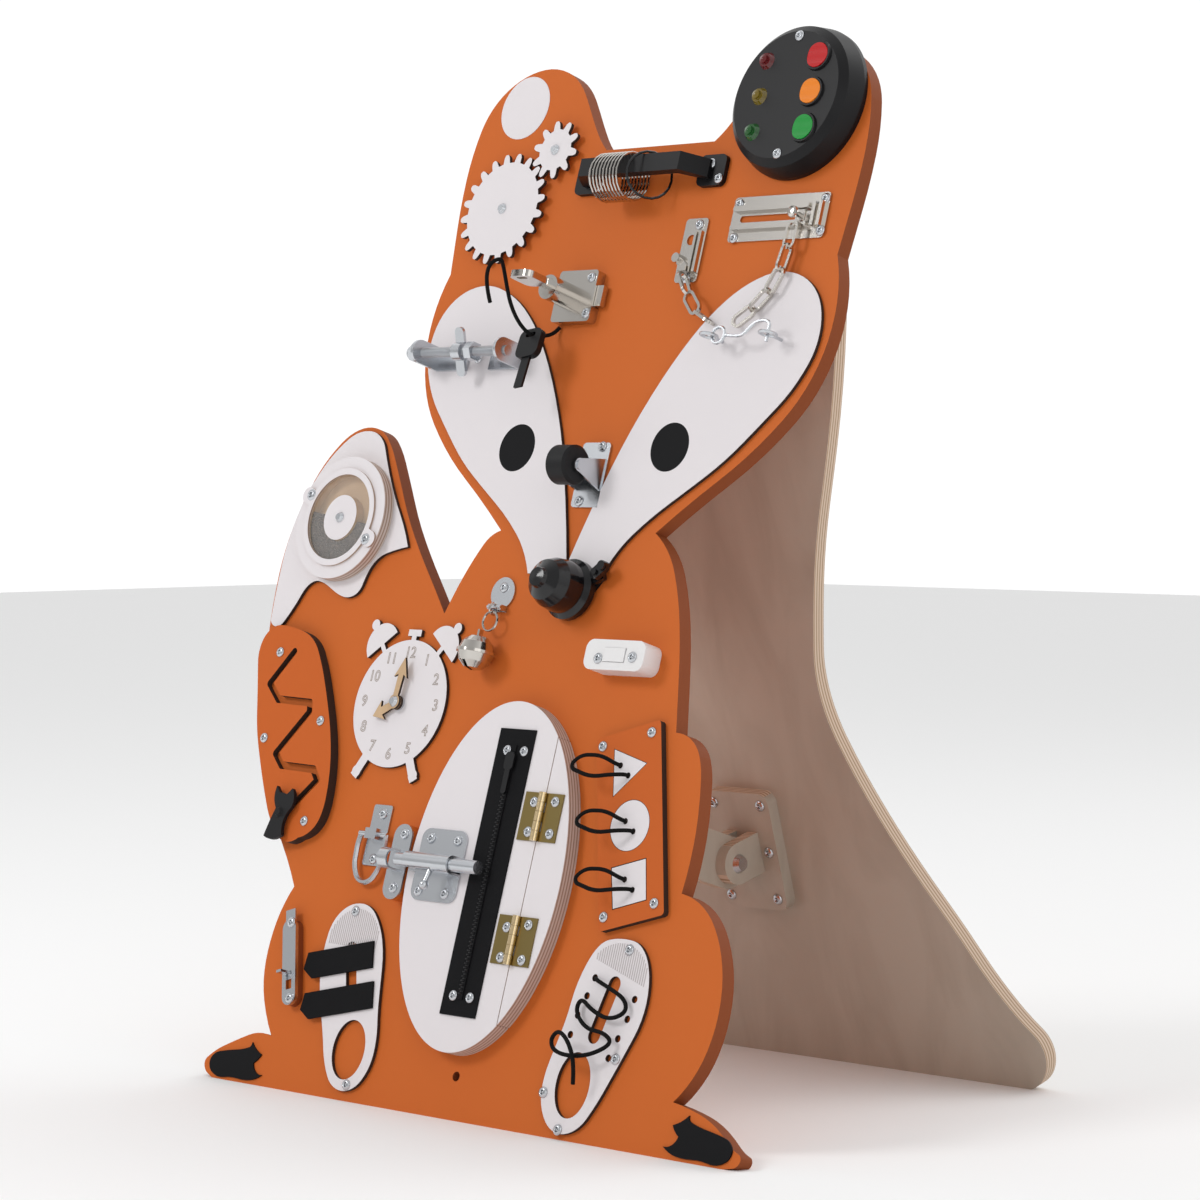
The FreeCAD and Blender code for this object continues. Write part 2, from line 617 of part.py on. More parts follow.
def link(centre, along, across_axis):
    """One chain link: a stadium of square wire with chamfers left to the eye."""
    long, wide, wire = size("chain_link_long"), size("chain_link_wide"), size("chain_wire")
    ring = board([slot(long, wide), slot(long - 2 * wire, wide - 2 * wire)], "chain_wire")
    third = along.cross(across_axis)
    turn = Rotation(along, across_axis, third, "XYZ")
    ring.Placement = Placement(centre - turn.multVec(OUT) * (wire / 2), turn)
    return ring


def chain(points, first):
    """Links laid along a path, every second one on edge."""
    path = smooth(points)
    shape = path.toShape()
    pitch = size("chain_link_long") - 2 * size("chain_wire") - 0.9
    count = int(shape.Length / pitch)
    step = shape.Length / count
    links = []
    for n in range(count):
        at_length = shape.getParameterByLength((n + 0.5) * step)
        middle = path.value(at_length)
        along = Vector(*path.tangent(at_length)[0])
        flat = OUT.cross(along)
        flat.normalize()
        side = flat if (n + first) % 2 == 0 else along.cross(flat)
        links.append(link(middle, along, side))
    return links


hang = [(button_u + 1, PLATE.y - 8, 8.5), (156 * SCALE, 632 * SCALE, 8.8), (149 * SCALE, 611 * SCALE, 8.8),
        (137 * SCALE, 596 * SCALE, 9), (122 * SCALE, 585 * SCALE, 9.4)]
back = [(100 * SCALE, 586 * SCALE, 9.4), (84 * SCALE, 594 * SCALE, 9), (70 * SCALE, 608 * SCALE, 8.5),
        (KEEPER.x + 2, KEEPER.y - 20, 8)]
keep("door_chain", *chain(hang, 0), *chain(back, 1))

# Hook and eyes: the hook swings on the first eye and drops through the second
WIRE = size("eye_wire") / 2
EYE_W = 18.0
R_EYE = size("eye_ring_radius")
eye_one = spot(108, 573)
eye_two = eye_one + RIGHT * (size("hook_reach") + 6)
eyes = []
for place in (eye_one, eye_two):
    ring = thin_ring(R_EYE, 2 * WIRE, Vector(place.x, place.y, EYE_W), UP)
    stem = cyl(WIRE, EYE_W - R_EYE - COVER, Vector(place.x, place.y, COVER))
    eyes.append(fuse(ring, stem))
HOOK_AXIS = Vector(eye_one.x + R_EYE, eye_one.y, EYE_W)
loop_centre = HOOK_AXIS + RIGHT * (R_EYE / 2)
start = loop_centre + RIGHT * R_EYE
tip_u = eye_two.x
hook_path = [start, start + Vector(9, -1, 0), start + Vector(17, -1, 0), Vector(tip_u - 14, eye_one.y + 9, EYE_W),
             Vector(tip_u - 5, eye_one.y + 10, EYE_W), Vector(tip_u, eye_one.y + 8, EYE_W),
             Vector(tip_u, eye_one.y - 6, EYE_W)]
hook_wire = cord([tuple(p) for p in hook_path], 2 * WIRE)
keep("hook", fuse(thin_ring(R_EYE, 2 * WIRE, loop_centre, OUT), hook_wire))

# Jingle bell on its staple, and the two screw eyes
BELL = spot(-61, 335, size("jingle_high"))
pad = cyl(12, 1.6, spot(-61, 384))
STAPLE = spot(-61, 372, 7)
ears = [box(3, 4, 7, STAPLE + Vector(s * 5.5, 0, -7)) for s in (-1, 1)]
lug = box(14, 8, 1.2, spot(-61, 373.6))
bar = cyl(1.2, 14, STAPLE + Vector(-7, 0, 0), RIGHT)
keep("eyes_and_staple", *eyes, fuse(pad, lug, bar, *ears))
r_jingle = size("jingle_radius")
steps = [math.radians(a) for a in (-90, -60, -32, -5)]
lower_half = [(r_jingle * math.cos(a), r_jingle * math.sin(a)) for a in steps]
upper_half = [(r, -h) for r, h in reversed(lower_half)]
middle_band = [(r_jingle + 1.1, -1.1), (r_jingle + 1.1, 1.1)]
profile = [(max(r, 0), h) for r, h in lower_half + middle_band + upper_half]
inner_half = [(max((r_jingle - 1.2) * math.cos(a), 0), (r_jingle - 1.2) * math.sin(a)) for a in steps]
cavity = lathe(inner_half + [(r, -h) for r, h in reversed(inner_half)], BELL, UP)
shell = cut(lathe(profile, BELL, UP), cavity, box(3, 22, 22, BELL + Vector(0, -13, -11)))
neck = box(2, 6, 4, BELL + Vector(0, r_jingle + 0.9, -2))
upper = thin_ring(4.2, 1.8, STAPLE - UP * 1.7, RIGHT)
lower = thin_ring(7.3, 1.8, STAPLE + Vector(0, -11.3, 1), OUT)
keep("jingle_bell", fuse(shell, neck), upper, lower)

# Drawer lock with its key
LOCK = spot(-47, 611)
BARREL = spot(-57, 612)
case = board([rounded("lock_case_wide", "lock_case_wide", 3)], "lock_case_thick", LOCK)
tube = cyl("barrel_radius", "barrel_long", BARREL + OUT * size("lock_case_thick"))
BARREL_TOP = size("lock_case_thick") + size("barrel_long")
bore = cyl("plug_radius + pivot_gap", 14, BARREL + OUT * (BARREL_TOP - 14))
channel = box(17, 16.6, 5.4, LOCK + Vector(size("lock_case_wide") / 2 - 6.5, 0, 1.3))
keep("drawer_lock", cut(fuse(case, tube), bore, channel))
keep("lock_bolt", box(15, 16, 4.8, LOCK + Vector(size("lock_case_wide") / 2 - 0.5, 0, 1.6)))
plug = cyl("plug_radius", 13.6, BARREL + OUT * (BARREL_TOP - 13.6))
blade = box(8, 2, 9, BARREL + OUT * BARREL_TOP)
bow_loop = rounded("key_bow_wide", "key_bow_long", 6)
bow = board([bow_loop, shifted(slot(10, 4), 0, size("key_bow_long") / 2 - 5)], "key_thick")
bow.Placement = Placement(BARREL + Vector(0, size("key_thick") / 2, BARREL_TOP + 8 + size("key_bow_long") / 2),
                          Rotation(RIGHT, 90))
keep("door_key", fuse(plug, blade, bow))
SPARE_EYE = Vector(BARREL.x - 5.8, BARREL.y - 37.8, 25.7)  # where the cord goes through it
bow = board([bow_loop, shifted(slot(10, 4), 0, size("key_bow_long") / 2 - 5)], "key_thick")
spare_blade = box(8, 2, 26, Vector(0, -size("key_bow_long") / 2 + 1, 2.5), Rotation(RIGHT, 90))
spare = fuse(bow, spare_blade)
hang_turn = Rotation(OUT, 8).multiply(Rotation(RIGHT, -12))
slot_place = Vector(0, size("key_bow_long") / 2 - 5, size("key_thick") / 2)
spare.Placement = Placement(SPARE_EYE - hang_turn.multVec(slot_place), hang_turn)
keep("spare_key", spare)

# Threaded rod on two angle brackets, with a wing nut
ROD_V = 565 * SCALE
ROD_W = size("rod_high")
t, wide = size("rod_bracket_thick"), size("rod_bracket_wide")
brackets = []
for u, side in ((-183 * SCALE, 1), (-93 * SCALE, -1)):
    flange = box("rod_bracket_thick", "rod_bracket_wide", ROD_W, Vector(u, ROD_V, COVER))
    crown = cyl(wide / 2, "rod_bracket_thick", Vector(u - t / 2, ROD_V, ROD_W + COVER), RIGHT)
    leaf = box(34, "rod_bracket_wide", "rod_bracket_thick", Vector(u + side * (17 - t / 2), ROD_V, COVER))
    brackets.append(cut(fuse(flange, crown, leaf), cyl("rod_radius", 20, Vector(u - 10, ROD_V, ROD_W), RIGHT)))
hexagon = polygon([(7.5 * math.cos(a * math.pi / 3), 7.5 * math.sin(a * math.pi / 3)) for a in range(6)])


def rod_nut(u, thick):
    """A hexagon nut run on to the rod."""
    thing = board([hexagon], thick)
    thing.Placement = Placement(Vector(u, ROD_V, ROD_W), turned(RIGHT))
    return thing


rod = cyl("rod_radius", 100 * SCALE, Vector(-190 * SCALE, ROD_V, ROD_W), RIGHT)
cap = ball(6, Vector(-193 * SCALE, ROD_V, ROD_W), 0, 90, RIGHT * -1)
outer_nut = rod_nut(-193 * SCALE, 7.5 * SCALE)
lock_nut = rod_nut(-132 * SCALE, 7)
keep("threaded_rod", fuse(rod, cap, outer_nut, lock_nut), *brackets)
WING_U = -146 * SCALE
hub = cyl(7, 9, Vector(WING_U, ROD_V, ROD_W), RIGHT)
wings = []
for s in (-1, 1):
    wing = board([rounded(15, 9, 4)], 2.4)
    reach = Rotation(RIGHT, 25 + 90 * (1 - s)).multVec(UP)
    wing.Placement = Placement(Vector(WING_U + 4, ROD_V, ROD_W) + reach * 11 + RIGHT * 1,
                               Rotation(reach, RIGHT, reach.cross(RIGHT), "XYZ"))
    wings.append(wing)
keep("wing_nut", cut(fuse(hub, *wings), cyl("rod_radius + pivot_gap", 30, Vector(WING_U - 5, ROD_V, ROD_W), RIGHT)))

# Fixed caster: a plate, a fork and a wheel on its axle
AXLE = CASTER + OUT * size("caster_high")
half_wheel = size("caster_wheel_wide") / 2
plate = board([rounded(28, 49, 3)], 2, CASTER)
cheeks = []
for s in (-1, 1):
    profile = board([[edge([(-12, 2), (12, 2)]), edge([(12, 2), (5, size("caster_high"))]),
                      Part.Arc(Vector(5, size("caster_high"), 0), Vector(0, size("caster_high") + 5, 0),
                               Vector(-5, size("caster_high"), 0)),
                      edge([(-5, size("caster_high")), (-12, 2)])]], 1.8)
    offset = s * (half_wheel + 1) + (0 if s > 0 else -1.8)
    profile.Placement = Placement(CASTER + RIGHT * offset, Rotation(UP, OUT, RIGHT, "XYZ"))
    cheeks.append(profile)
reach = half_wheel + 4
axle = cyl("pivot_radius", 2 * reach, AXLE - RIGHT * reach, RIGHT)
caps = [cyl(3.6, 1.2, AXLE + RIGHT * (s * reach - (1.2 if s > 0 else 0)), RIGHT) for s in (-1, 1)]
keep("caster_fork", fuse(plate, axle, *cheeks, *caps))
r_wheel = size("caster_wheel_radius")
r_bore = size("pivot_radius") + size("pivot_gap")
wheel = lathe([(r_bore, -half_wheel), (r_wheel - 2, -half_wheel), (r_wheel, 2 - half_wheel),
               (r_wheel, half_wheel - 2), (r_wheel - 2, half_wheel), (r_bore, half_wheel)], AXLE, RIGHT)
keep("caster_wheel", wheel)

# Bicycle bell on the nose, with a thumb striker
NOSE = spot(12, 387, COVER)
r_low, r_dome = size("bell_base_radius"), size("bell_dome_radius")
h_dome = size("bell_dome_high")
base = lathe([(0, 0), (r_low, 0), (r_low, 5), (r_low - 5, 9), (0, 9)], NOSE)
seat = NOSE + OUT * 9.5
dome = turned_part([[(0, 0), (r_dome, 0)], [(r_dome, 0), (r_dome, 5)],
                    [(r_dome, 5), (r_dome - 1, h_dome - 13)], [(r_dome - 1, h_dome - 13), (r_dome - 4.4, h_dome - 5)],
                    [(r_dome - 4.4, h_dome - 5), (8, h_dome)], [(8, h_dome), (7, h_dome + 3)],
                    [(7, h_dome + 3), (0, h_dome + 4)], [(0, h_dome + 4), (0, 0)]], seat)
post = cyl(5, 1, NOSE + OUT * 8.7)
LEVER = NOSE + Vector(28, 12, 0)
stub = cyl("pivot_radius", 11, LEVER)
lug = box(18, 9, 4, NOSE + Vector(22, 9.4, 0), Rotation(OUT, 23))
keep("bicycle_bell", fuse(base, post, stub, lug), dome)
paddle = board([rounded(16, 9, 4), circle("pivot_radius + pivot_gap", -3)], 4)
paddle.Placement = Placement(LEVER + OUT * 5.4 + Rotation(OUT, 40).multVec(RIGHT * 3), Rotation(OUT, 40))
thumb = cyl(3.6, 6, LEVER + OUT * 5.4 + Rotation(OUT, 40).multVec(RIGHT * 7.5))
keep("bell_lever", fuse(paddle, thumb))

# Clock face with two arrow hands
fill = Vector(clock_spot.x, clock_spot.y, 0)


bells = []
for s in (-1, 1):
    centre = Vector(clock_spot.x + s * 33, clock_spot.y + 44, 0)
    bells.append(cyl(17, "overlay_thick", centre, OUT, 180))
    bells[-1].Placement = Placement(centre, Rotation(OUT, -s * 38))
    outward = Rotation(OUT, -s * 38).multVec(UP)
    bells.append(cyl(4.2, "overlay_thick", centre + outward * 19.5))
    neck = box(4, 12, "overlay_thick", centre - outward * 4, Rotation(OUT, -s * 38))
    foot = box(8, 24, "overlay_thick", Vector(clock_spot.x + s * 27, clock_spot.y - 47, 0), Rotation(OUT, s * 30))
    toe = cyl(4.6, "overlay_thick", Vector(clock_spot.x + s * 31, clock_spot.y - 53.5, 0))
    bells += [neck, foot, toe]
button = [box(5, 8, "overlay_thick", fill + UP * 51), box(14, 5, "overlay_thick", fill + UP * 54.5)]
keep("clock_face", fuse(cyl("clock_radius", "overlay_thick", fill), *bells, *button))


def hand(long, base_w, angle, width):
    """An arrow hand that points along +v before it is turned."""
    tip = amount(long)
    arrow = polygon([(-width * 0.35, -3), (width * 0.35, -3), (width * 0.4, tip * 0.62), (width, tip * 0.55),
                     (0, tip), (-width, tip * 0.55), (-width * 0.4, tip * 0.62)])
    hub_disc = cyl(5.5, "hand_thick", fill + OUT * base_w)
    blade_plate = board([arrow], "hand_thick", fill + OUT * base_w, angle)
    hole = cyl("pivot_radius + pivot_gap", 12, fill + OUT * (base_w - 3))
    return cut(fuse(hub_disc, blade_plate), hole)


keep("hour_hand", hand("hour_hand_long", hour_w, 118, 8))
keep("minute_hand", hand("minute_hand_long", minute_w, -4, 7))

# In-line switch
SWITCH = spot(81, 338)
case = board([rounded("switch_long", "switch_wide", 7)], "switch_high", SWITCH)
well = box(21.6, 10.6, 8, SWITCH + Vector(0, 0, size("switch_high") - 8))
keep("switch_case", cut(case, well))
button = box(20.6, 10, 7.4, SWITCH + Vector(0, 0, size("switch_high") - 6.6))
keep("switch_button", button)

# Sand drum: a ply wheel with a window, and seeds that stay low while it turns
r_drum, r_window, r_hub = size("drum_radius"), size("drum_window"), size("drum_hub")
h_drum, deep = size("drum_high"), size("drum_chamber")
wheel = lathe([(r_bore, 0), (r_drum, 0), (r_drum, h_drum), (r_window, h_drum), (r_window, h_drum - 1.5 - deep),
               (r_hub, h_drum - 1.5 - deep), (r_hub, h_drum), (r_bore, h_drum)], drum_spot + OUT * drum_w)
trim = lathe([(r_window - 1, h_drum), (r_window + 4, h_drum), (r_window + 4, h_drum + 2), (r_window - 1, h_drum + 2)],
             drum_spot + OUT * drum_w)
ears = []
for angle in (157, 337):
    reach = Rotation(OUT, angle).multVec(RIGHT)
    ears.append(board([slot(22, 13)], 2, drum_spot + reach * 39 + OUT * (drum_w + h_drum), angle))
keep("sand_drum", wheel, cut(fuse(trim, *ears), cyl("drum_window - 1", 20, drum_spot + OUT * (drum_w + h_drum - 5))))
pane_w = drum_w + h_drum - 1.5
pane = lathe([(r_hub, 0), (r_window, 0), (r_window, 1.2), (r_hub, 1.2)], drum_spot + OUT * pane_w)
keep("drum_window_pane", pane)
heap = cyl("drum_window - gap - gap", "drum_chamber - gap - gap", drum_spot + OUT * (pane_w - deep + GAP), OUT, 180)
heap.Placement = Placement(drum_spot + OUT * (pane_w - deep + GAP), Rotation(OUT, 172))
core = cyl("drum_hub + gap + gap", 30, drum_spot + OUT * (drum_w - 5))
keep("drum_seeds", cut(heap, core))

# Maze plate with a groove and its slider
maze_outline = [
    [(-217, 187), (-228, 183), (-240, 186), (-258, 205), (-276, 236), (-293, 270), (-305, 308), (-309, 338),
     (-300, 349), (-285, 350), (-272, 348), (-254, 343), (-232, 316), (-214, 284), (-202, 254), (-196, 220),
     (-199, 200), (-217, 187)],
]
maze = board([scaled(maze_outline)], "maze_thick")
groove_path = [(-269, 330), (-289, 304), (-275, 292), (-238, 291), (-236, 284), (-264, 250), (-254, 241),
               (-217, 240), (-210, 232), (-238, 204)]
groove_floor = size("maze_thick") - size("groove_deep")
grooves = []
for a, b in zip(groove_path, groove_path[1:]):
    start, end = spot(*a), spot(*b)
    run = end - start
    angle = math.degrees(math.atan2(run.y, run.x))
    middle = (start + end) * 0.5 + OUT * groove_floor
    grooves.append(box(run.Length, "groove_wide", 20, middle, Rotation(OUT, angle)))
    grooves.append(cyl(size("groove_wide") / 2, 20, end + OUT * groove_floor))
grooves.append(cyl(size("groove_wide") / 2, 20, spot(*groove_path[0], groove_floor)))
keep("maze_plate", cut(maze, *grooves))
PIN = spot(*groove_path[-1])
RIDER_GAP = 2.6
rider = [
    [(-12, -19), (-4, -21), (8, -17)], [(8, -17), (7, -4), (12, 4)], [(12, 4), (13, 12), (9, 19)], [(9, 19), (4, 14)],
    [(4, 14), (0, 15), (-4, 15)], [(-4, 15), (-9, 20)], [(-9, 20), (-9, 10), (-5, 3)], [(-5, 3), (-9, -8), (-12, -19)],
]
figure = board([[edge(s) for s in rider]], 3, PIN + OUT * (size("maze_thick") + RIDER_GAP))
pin = cyl(size("groove_wide") / 2 - GAP, size("groove_deep") + RIDER_GAP, PIN + OUT * (groove_floor + GAP))
keep("maze_rider", fuse(figure, pin, screw(PIN + OUT * (size("maze_thick") + RIDER_GAP + 3))))

# Belly: an oval split into a hinged door and a fixed strip
BELLY = spot(-7, 173.6)
half_w, half_h = size("oval_wide"), size("oval_high")
HINGE_U = BELLY.x + size("hinge_from_middle")
oval = board([ellipse(half_w, half_h)], "door_thick", BELLY + OUT * GAP)
side_box = box(400, 400, 40, Vector(HINGE_U - size("door_gap") / 2 + 200, BELLY.y, -5))
keep("door_leaf", cut(oval, side_box))
oval = board([ellipse(half_w, half_h)], "door_thick + gap", BELLY)
side_box = box(400, 400, 40, Vector(HINGE_U + size("door_gap") / 2 - 200, BELLY.y, -5))
strip = cut(oval, side_box)
keeper_u = BELLY.x - 89.5
LATCH_V = BELLY.y + 3.4
keeper_block = board([rounded(18, 56, 8)], "door_thick + gap", Vector(keeper_u, LATCH_V - 0.5, 0))
keep("belly_strip", strip, keeper_block)
FACE = DOOR_T + GAP
r_knuckle = size("butt_knuckle")
KNUCKLE_W = FACE + r_knuckle
fixed_leaves, moving_leaves = [], []
for offset in (45.4, -43.6):
    mid = Vector(HINGE_U, BELLY.y + offset, 0)
    high, leaf_wide = size("butt_high"), size("butt_wide") / 2
    segment = high / 5
    for side, group, rows_taken in ((1, fixed_leaves, (0, 2, 4)), (-1, moving_leaves, (1, 3))):
        leaf = box(leaf_wide - r_knuckle - GAP, "butt_high", "butt_leaf",
                   mid + Vector(side * (leaf_wide + r_knuckle + GAP) / 2, 0, FACE))
        pieces = [leaf]
        for n in rows_taken:
            low = mid.y - high / 2 + n * segment
            inset = GAP if side < 0 else 0
            pieces.append(cyl("butt_knuckle", segment - 2 * inset, Vector(mid.x, low + inset, KNUCKLE_W), UP))
            pieces.append(box(r_knuckle + 2, segment - 2 * inset, "butt_leaf",
                              Vector(mid.x + side * (r_knuckle + 2) / 2, low + segment / 2, FACE)))
        joined = fuse(*pieces)
        if side < 0:
            joined = cut(joined, cyl(1.25, 60, mid + Vector(0, -30, KNUCKLE_W), UP))
        else:
            joined = fuse(joined, cyl(1.2, high, mid + Vector(0, -high / 2, KNUCKLE_W), UP))
        group.append(joined)
keep("strip_hinge_leaves", *fixed_leaves)
keep("door_hinge_leaves", *moving_leaves)

# Zipper on the door
ZIP_U = BELLY.x + 5.5
ZIP_V = BELLY.y + 2.9
tape = box("tape_wide", "tape_high", "tape_thick", Vector(ZIP_U, ZIP_V, FACE))
teeth = box(5, "tape_high - 24", 1, Vector(ZIP_U, ZIP_V, FACE + size("tape_thick")))
keep("zip_tape", fuse(tape, teeth))
slider_v = ZIP_V + size("tape_high") / 2 - 24
slider_w = FACE + size("tape_thick") + 1 + GAP
slider = board([rounded(9, 13, 3)], 1.6, Vector(ZIP_U, slider_v, slider_w))
pull = board([rounded(5, 22, 2.4)], 1.4, Vector(ZIP_U, slider_v - 13, slider_w))
keep("zip_slider", fuse(slider, pull))

# Barrel latch: plate and guides on the door, bolt, keeper, bracket and pull ring
LATCH = Vector(BELLY.x - 45.5, LATCH_V, FACE)
r_bolt = size("latch_bolt_radius")
BOLT_W = FACE + size("latch_bolt_high")
plate = board([rounded(47, 53, 8)], "sheet_metal", LATCH)


KEEPER_PLAY = 1.3  # the keeper lets a badly lined-up bolt in


def guide(u, v, base_w, wide, *slots, play=GAP):
    """A sheet loop over the bolt."""
    outer_r = r_bolt + play + METAL
    leg = box(wide, 2 * outer_r, BOLT_W - base_w, Vector(u, v, base_w))
    crown = cyl(outer_r, wide, Vector(u - wide / 2, v, BOLT_W), RIGHT)
    bore = cyl(r_bolt + play, wide + 10, Vector(u - wide / 2 - 5, v, BOLT_W), RIGHT)
    under = box(wide + 10, 2 * (r_bolt + play), BOLT_W - base_w, Vector(u, v, base_w))
    return cut(fuse(leg, crown), bore, under, *slots)


bolt_left = keeper_u + 19 / 2 + 0.6
stub_u = bolt_left + 37
travel = size("latch_travel")
handle_slot = box(travel + 6, 20, 8, Vector(stub_u - travel / 2, LATCH_V - 10, BOLT_W - 2.4))
keep("latch_plate", fuse(plate, guide(LATCH.x, LATCH_V, FACE + METAL, 47, handle_slot)))
keeper = board([rounded(19, 56, 9)], "sheet_metal", Vector(keeper_u, LATCH_V - 0.5, FACE))
keeper = fuse(keeper, guide(keeper_u, LATCH_V, FACE + METAL, 10, play=KEEPER_PLAY))
BRACKET = BELLY + Vector(-130.5, 22.4, 0)
plate = board([rounded(20, 46, 2)], "sheet_metal", BRACKET)
RING_AXIS = Vector(BRACKET.x, BRACKET.y, METAL + 3.6)
r_pull = 2
knuckle = cut(box(12, 8, 7.6, BRACKET + OUT * METAL), cyl(r_pull + size("pivot_gap"), 40, RING_AXIS - RIGHT * 20, RIGHT))
ring_bracket = fuse(plate, knuckle)
bolt = cyl("latch_bolt_radius", 84, Vector(bolt_left, LATCH_V, BOLT_W), RIGHT)
stub = cyl(2, 16, Vector(stub_u, LATCH_V, BOLT_W), Vector(0, -1, 0.25))
knob = ball(3.4, Vector(stub_u, LATCH_V - 17, BOLT_W + 4.2))
keep("latch_bolt", fuse(bolt, stub, knob))
d_path = [(-12, -4), (-15, -8), (-14, -24), (-8, -34), (0, -37), (8, -34), (14, -24), (15, -8), (12, -4)]
ring_points = [(RING_AXIS.x + a, RING_AXIS.y + b, RING_AXIS.z) for a, b in d_path]
top_bar = cyl(r_pull, 30, RING_AXIS - RIGHT * 15, RIGHT)
ring_loop = cord([(RING_AXIS.x - 13.5, RING_AXIS.y, RING_AXIS.z)] + ring_points[1:-1]
                 + [(RING_AXIS.x + 13.5, RING_AXIS.y, RING_AXIS.z)], 2 * r_pull)
keep("pull_ring", fuse(top_bar, ring_loop))

# Flush bolt on its wooden block
FLUSH_W = size("flush_block")
turn_flush = Rotation(OUT, flush_turn)
half_flush = size("flush_long") / 2
case = board([slot("flush_long", "flush_wide"), shifted(rounded(14, 6, 1), -14)], 3,
             flush_spot + OUT * FLUSH_W, flush_turn + 90)
tunnel = box(10.6, 66, 1.9, flush_spot + turn_flush.multVec(UP) * 11 + OUT * (FLUSH_W - 0.05), turn_flush)
keep("latch_fixtures", keeper, ring_bracket, cut(case, tunnel))
tongue = box(10, 54, 1.3, flush_spot + turn_flush.multVec(UP) * 14 + OUT * (FLUSH_W + 0.25), turn_flush)
thumb = box(5, 2, 13, flush_spot + turn_flush.multVec(UP) * -9 + OUT * (FLUSH_W + 0.25), turn_flush)
keep("flush_bolt", fuse(tongue, thumb))

# Lacing board with three shapes that pull out
LACING = spot(118.5, 220.5)
BOARD_TURN = 16.7
turn_back = Rotation(OUT, -BOARD_TURN)


def on_board(u, v):
    """A place measured on the panel, in the lacing board's own frame."""
    place = turn_back.multVec(spot(u, v) - LACING)
    return (place.x, place.y)


shapes = {
    "triangle": [(89, 273), (122, 265), (97, 240)],
    "circle": None,
    "square": [(110, 189.5), (140, 198.5), (148, 170.5), (119, 161.5)],
}
holes, centres = [], {}
for name, corners in shapes.items():
    if corners is None:
        centres[name] = (0.0, 0.0)
        holes.append(circle(18 + size("inset_gap")))
        continue
    places = [on_board(*c) for c in corners]
    mid = tuple(sum(p[n] for p in places) / len(places) for n in (0, 1))
    centres[name] = mid
    shapes[name] = [(p[0] - mid[0], p[1] - mid[1]) for p in places]
    grow = 1 + size("inset_gap") / 9
    holes.append(polygon([(mid[0] + p[0] * grow, mid[1] + p[1] * grow) for p in shapes[name]]))
keep("lacing_board", board([rounded("lacing_wide", "lacing_long", 3)] + holes, "lacing_thick", LACING, BOARD_TURN))
for name, corners in shapes.items():
    loop = circle(18) if corners is None else polygon(corners)
    eyelets = [circle(2.2, -4, 4), circle(2.2, 3, -5)]
    mid = centres[name]
    centre = LACING + Rotation(OUT, BOARD_TURN).multVec(Vector(mid[0], mid[1], 0))
    thing = board([loop] + eyelets, "lacing_thick - gap", centre + OUT * GAP, BOARD_TURN)
    spin = Rotation(OUT, BOARD_TURN)
    out_hole = centre + spin.multVec(Vector(-4, 4, GAP + 1))
    in_hole = centre + spin.multVec(Vector(3, -5, GAP + 1))
    top = size("lacing_thick") + 1
    bight = [tuple(out_hole), tuple(out_hole + Vector(0, 0, 8)), tuple(out_hole + Vector(-9, 4, 16)),
             tuple(out_hole + Vector(-22, 2, 22)), tuple(out_hole + Vector(-29, -8, 25)),
             tuple(in_hole + Vector(-20, -6, 20)), tuple(in_hole + Vector(-8, -2, 13)),
             tuple(in_hole + Vector(0, 0, 7)), tuple(in_hole)]
    keep("inset_" + name, thing, cord(bight, size("lace_diameter")))

# Shoe templates: one with two straps, one with a lace
strap_shoe = [[(-138, 144), (-122, 140), (-109, 125), (-101, 105), (-95, 72), (-89, 40), (-99, 12), (-112, 7),
               (-127, 10), (-145, 40), (-162, 80), (-167, 105), (-165, 120), (-157, 135), (-138, 144)]]
lace_shoe = [[(86, 30), (87, 50), (94, 78), (98, 105), (105, 125), (115, 138), (133, 142), (148, 140), (160, 128),
              (166, 103), (161, 75), (141, 30), (131, 12), (118, 5), (108, 4), (95, 12), (86, 30)]]


def tongue_gap(u, v, long, tilt):
    """The long opening under straps or laces."""
    middle = spot(u, v)
    turn = Rotation(OUT, tilt)
    run, r = long / 2, 5.5
    ends = [turn.multVec(Vector(*p)) + middle for p in
            ((-run, -r, 0), (run, -r, 0), (run + r, 0, 0), (run, r, 0), (-run, r, 0), (-run - r, 0, 0))]
    return [Part.LineSegment(ends[0], ends[1]), Part.Arc(ends[1], ends[2], ends[3]),
            Part.LineSegment(ends[3], ends[4]), Part.Arc(ends[4], ends[5], ends[0])]


eyelets = [(114, 113), (110, 100), (105, 86), (102, 72), (155, 102), (152, 88), (147, 74), (142, 60)]
first = board([scaled(strap_shoe), ellipse(17, 22, -116 * SCALE, 37 * SCALE), tongue_gap(-131, 92, 38, 108)],
              "overlay_thick")
second = board([scaled(lace_shoe), ellipse(16, 23, 114 * SCALE, 38 * SCALE), tongue_gap(129, 92, 38, 76)]
               + [circle(2.6, u * SCALE, v * SCALE) for u, v in eyelets], "overlay_thick")
keep("white_covers", cut(left_cheek, caster_notch), cut(right_cheek, caster_notch), white_tip, first, second)
straps = []
STRAP_W = COVER + 0.3
for tip, fold in (((-182, 92), (-111, 108)), ((-176, 62), (-102, 79))):
    start, end = spot(*tip), spot(*fold)
    run = end - start
    angle = math.degrees(math.atan2(run.y, run.x))
    half, long = size("strap_wide") / 2, run.Length
    band = polygon([(0, -2), (9, -half), (long, -half), (long, half), (4, half)])
    straps.append(board([band], "strap_thick", start + OUT * STRAP_W, angle))
keep("shoe_straps", *straps)
LACE_W = COVER + 2.2
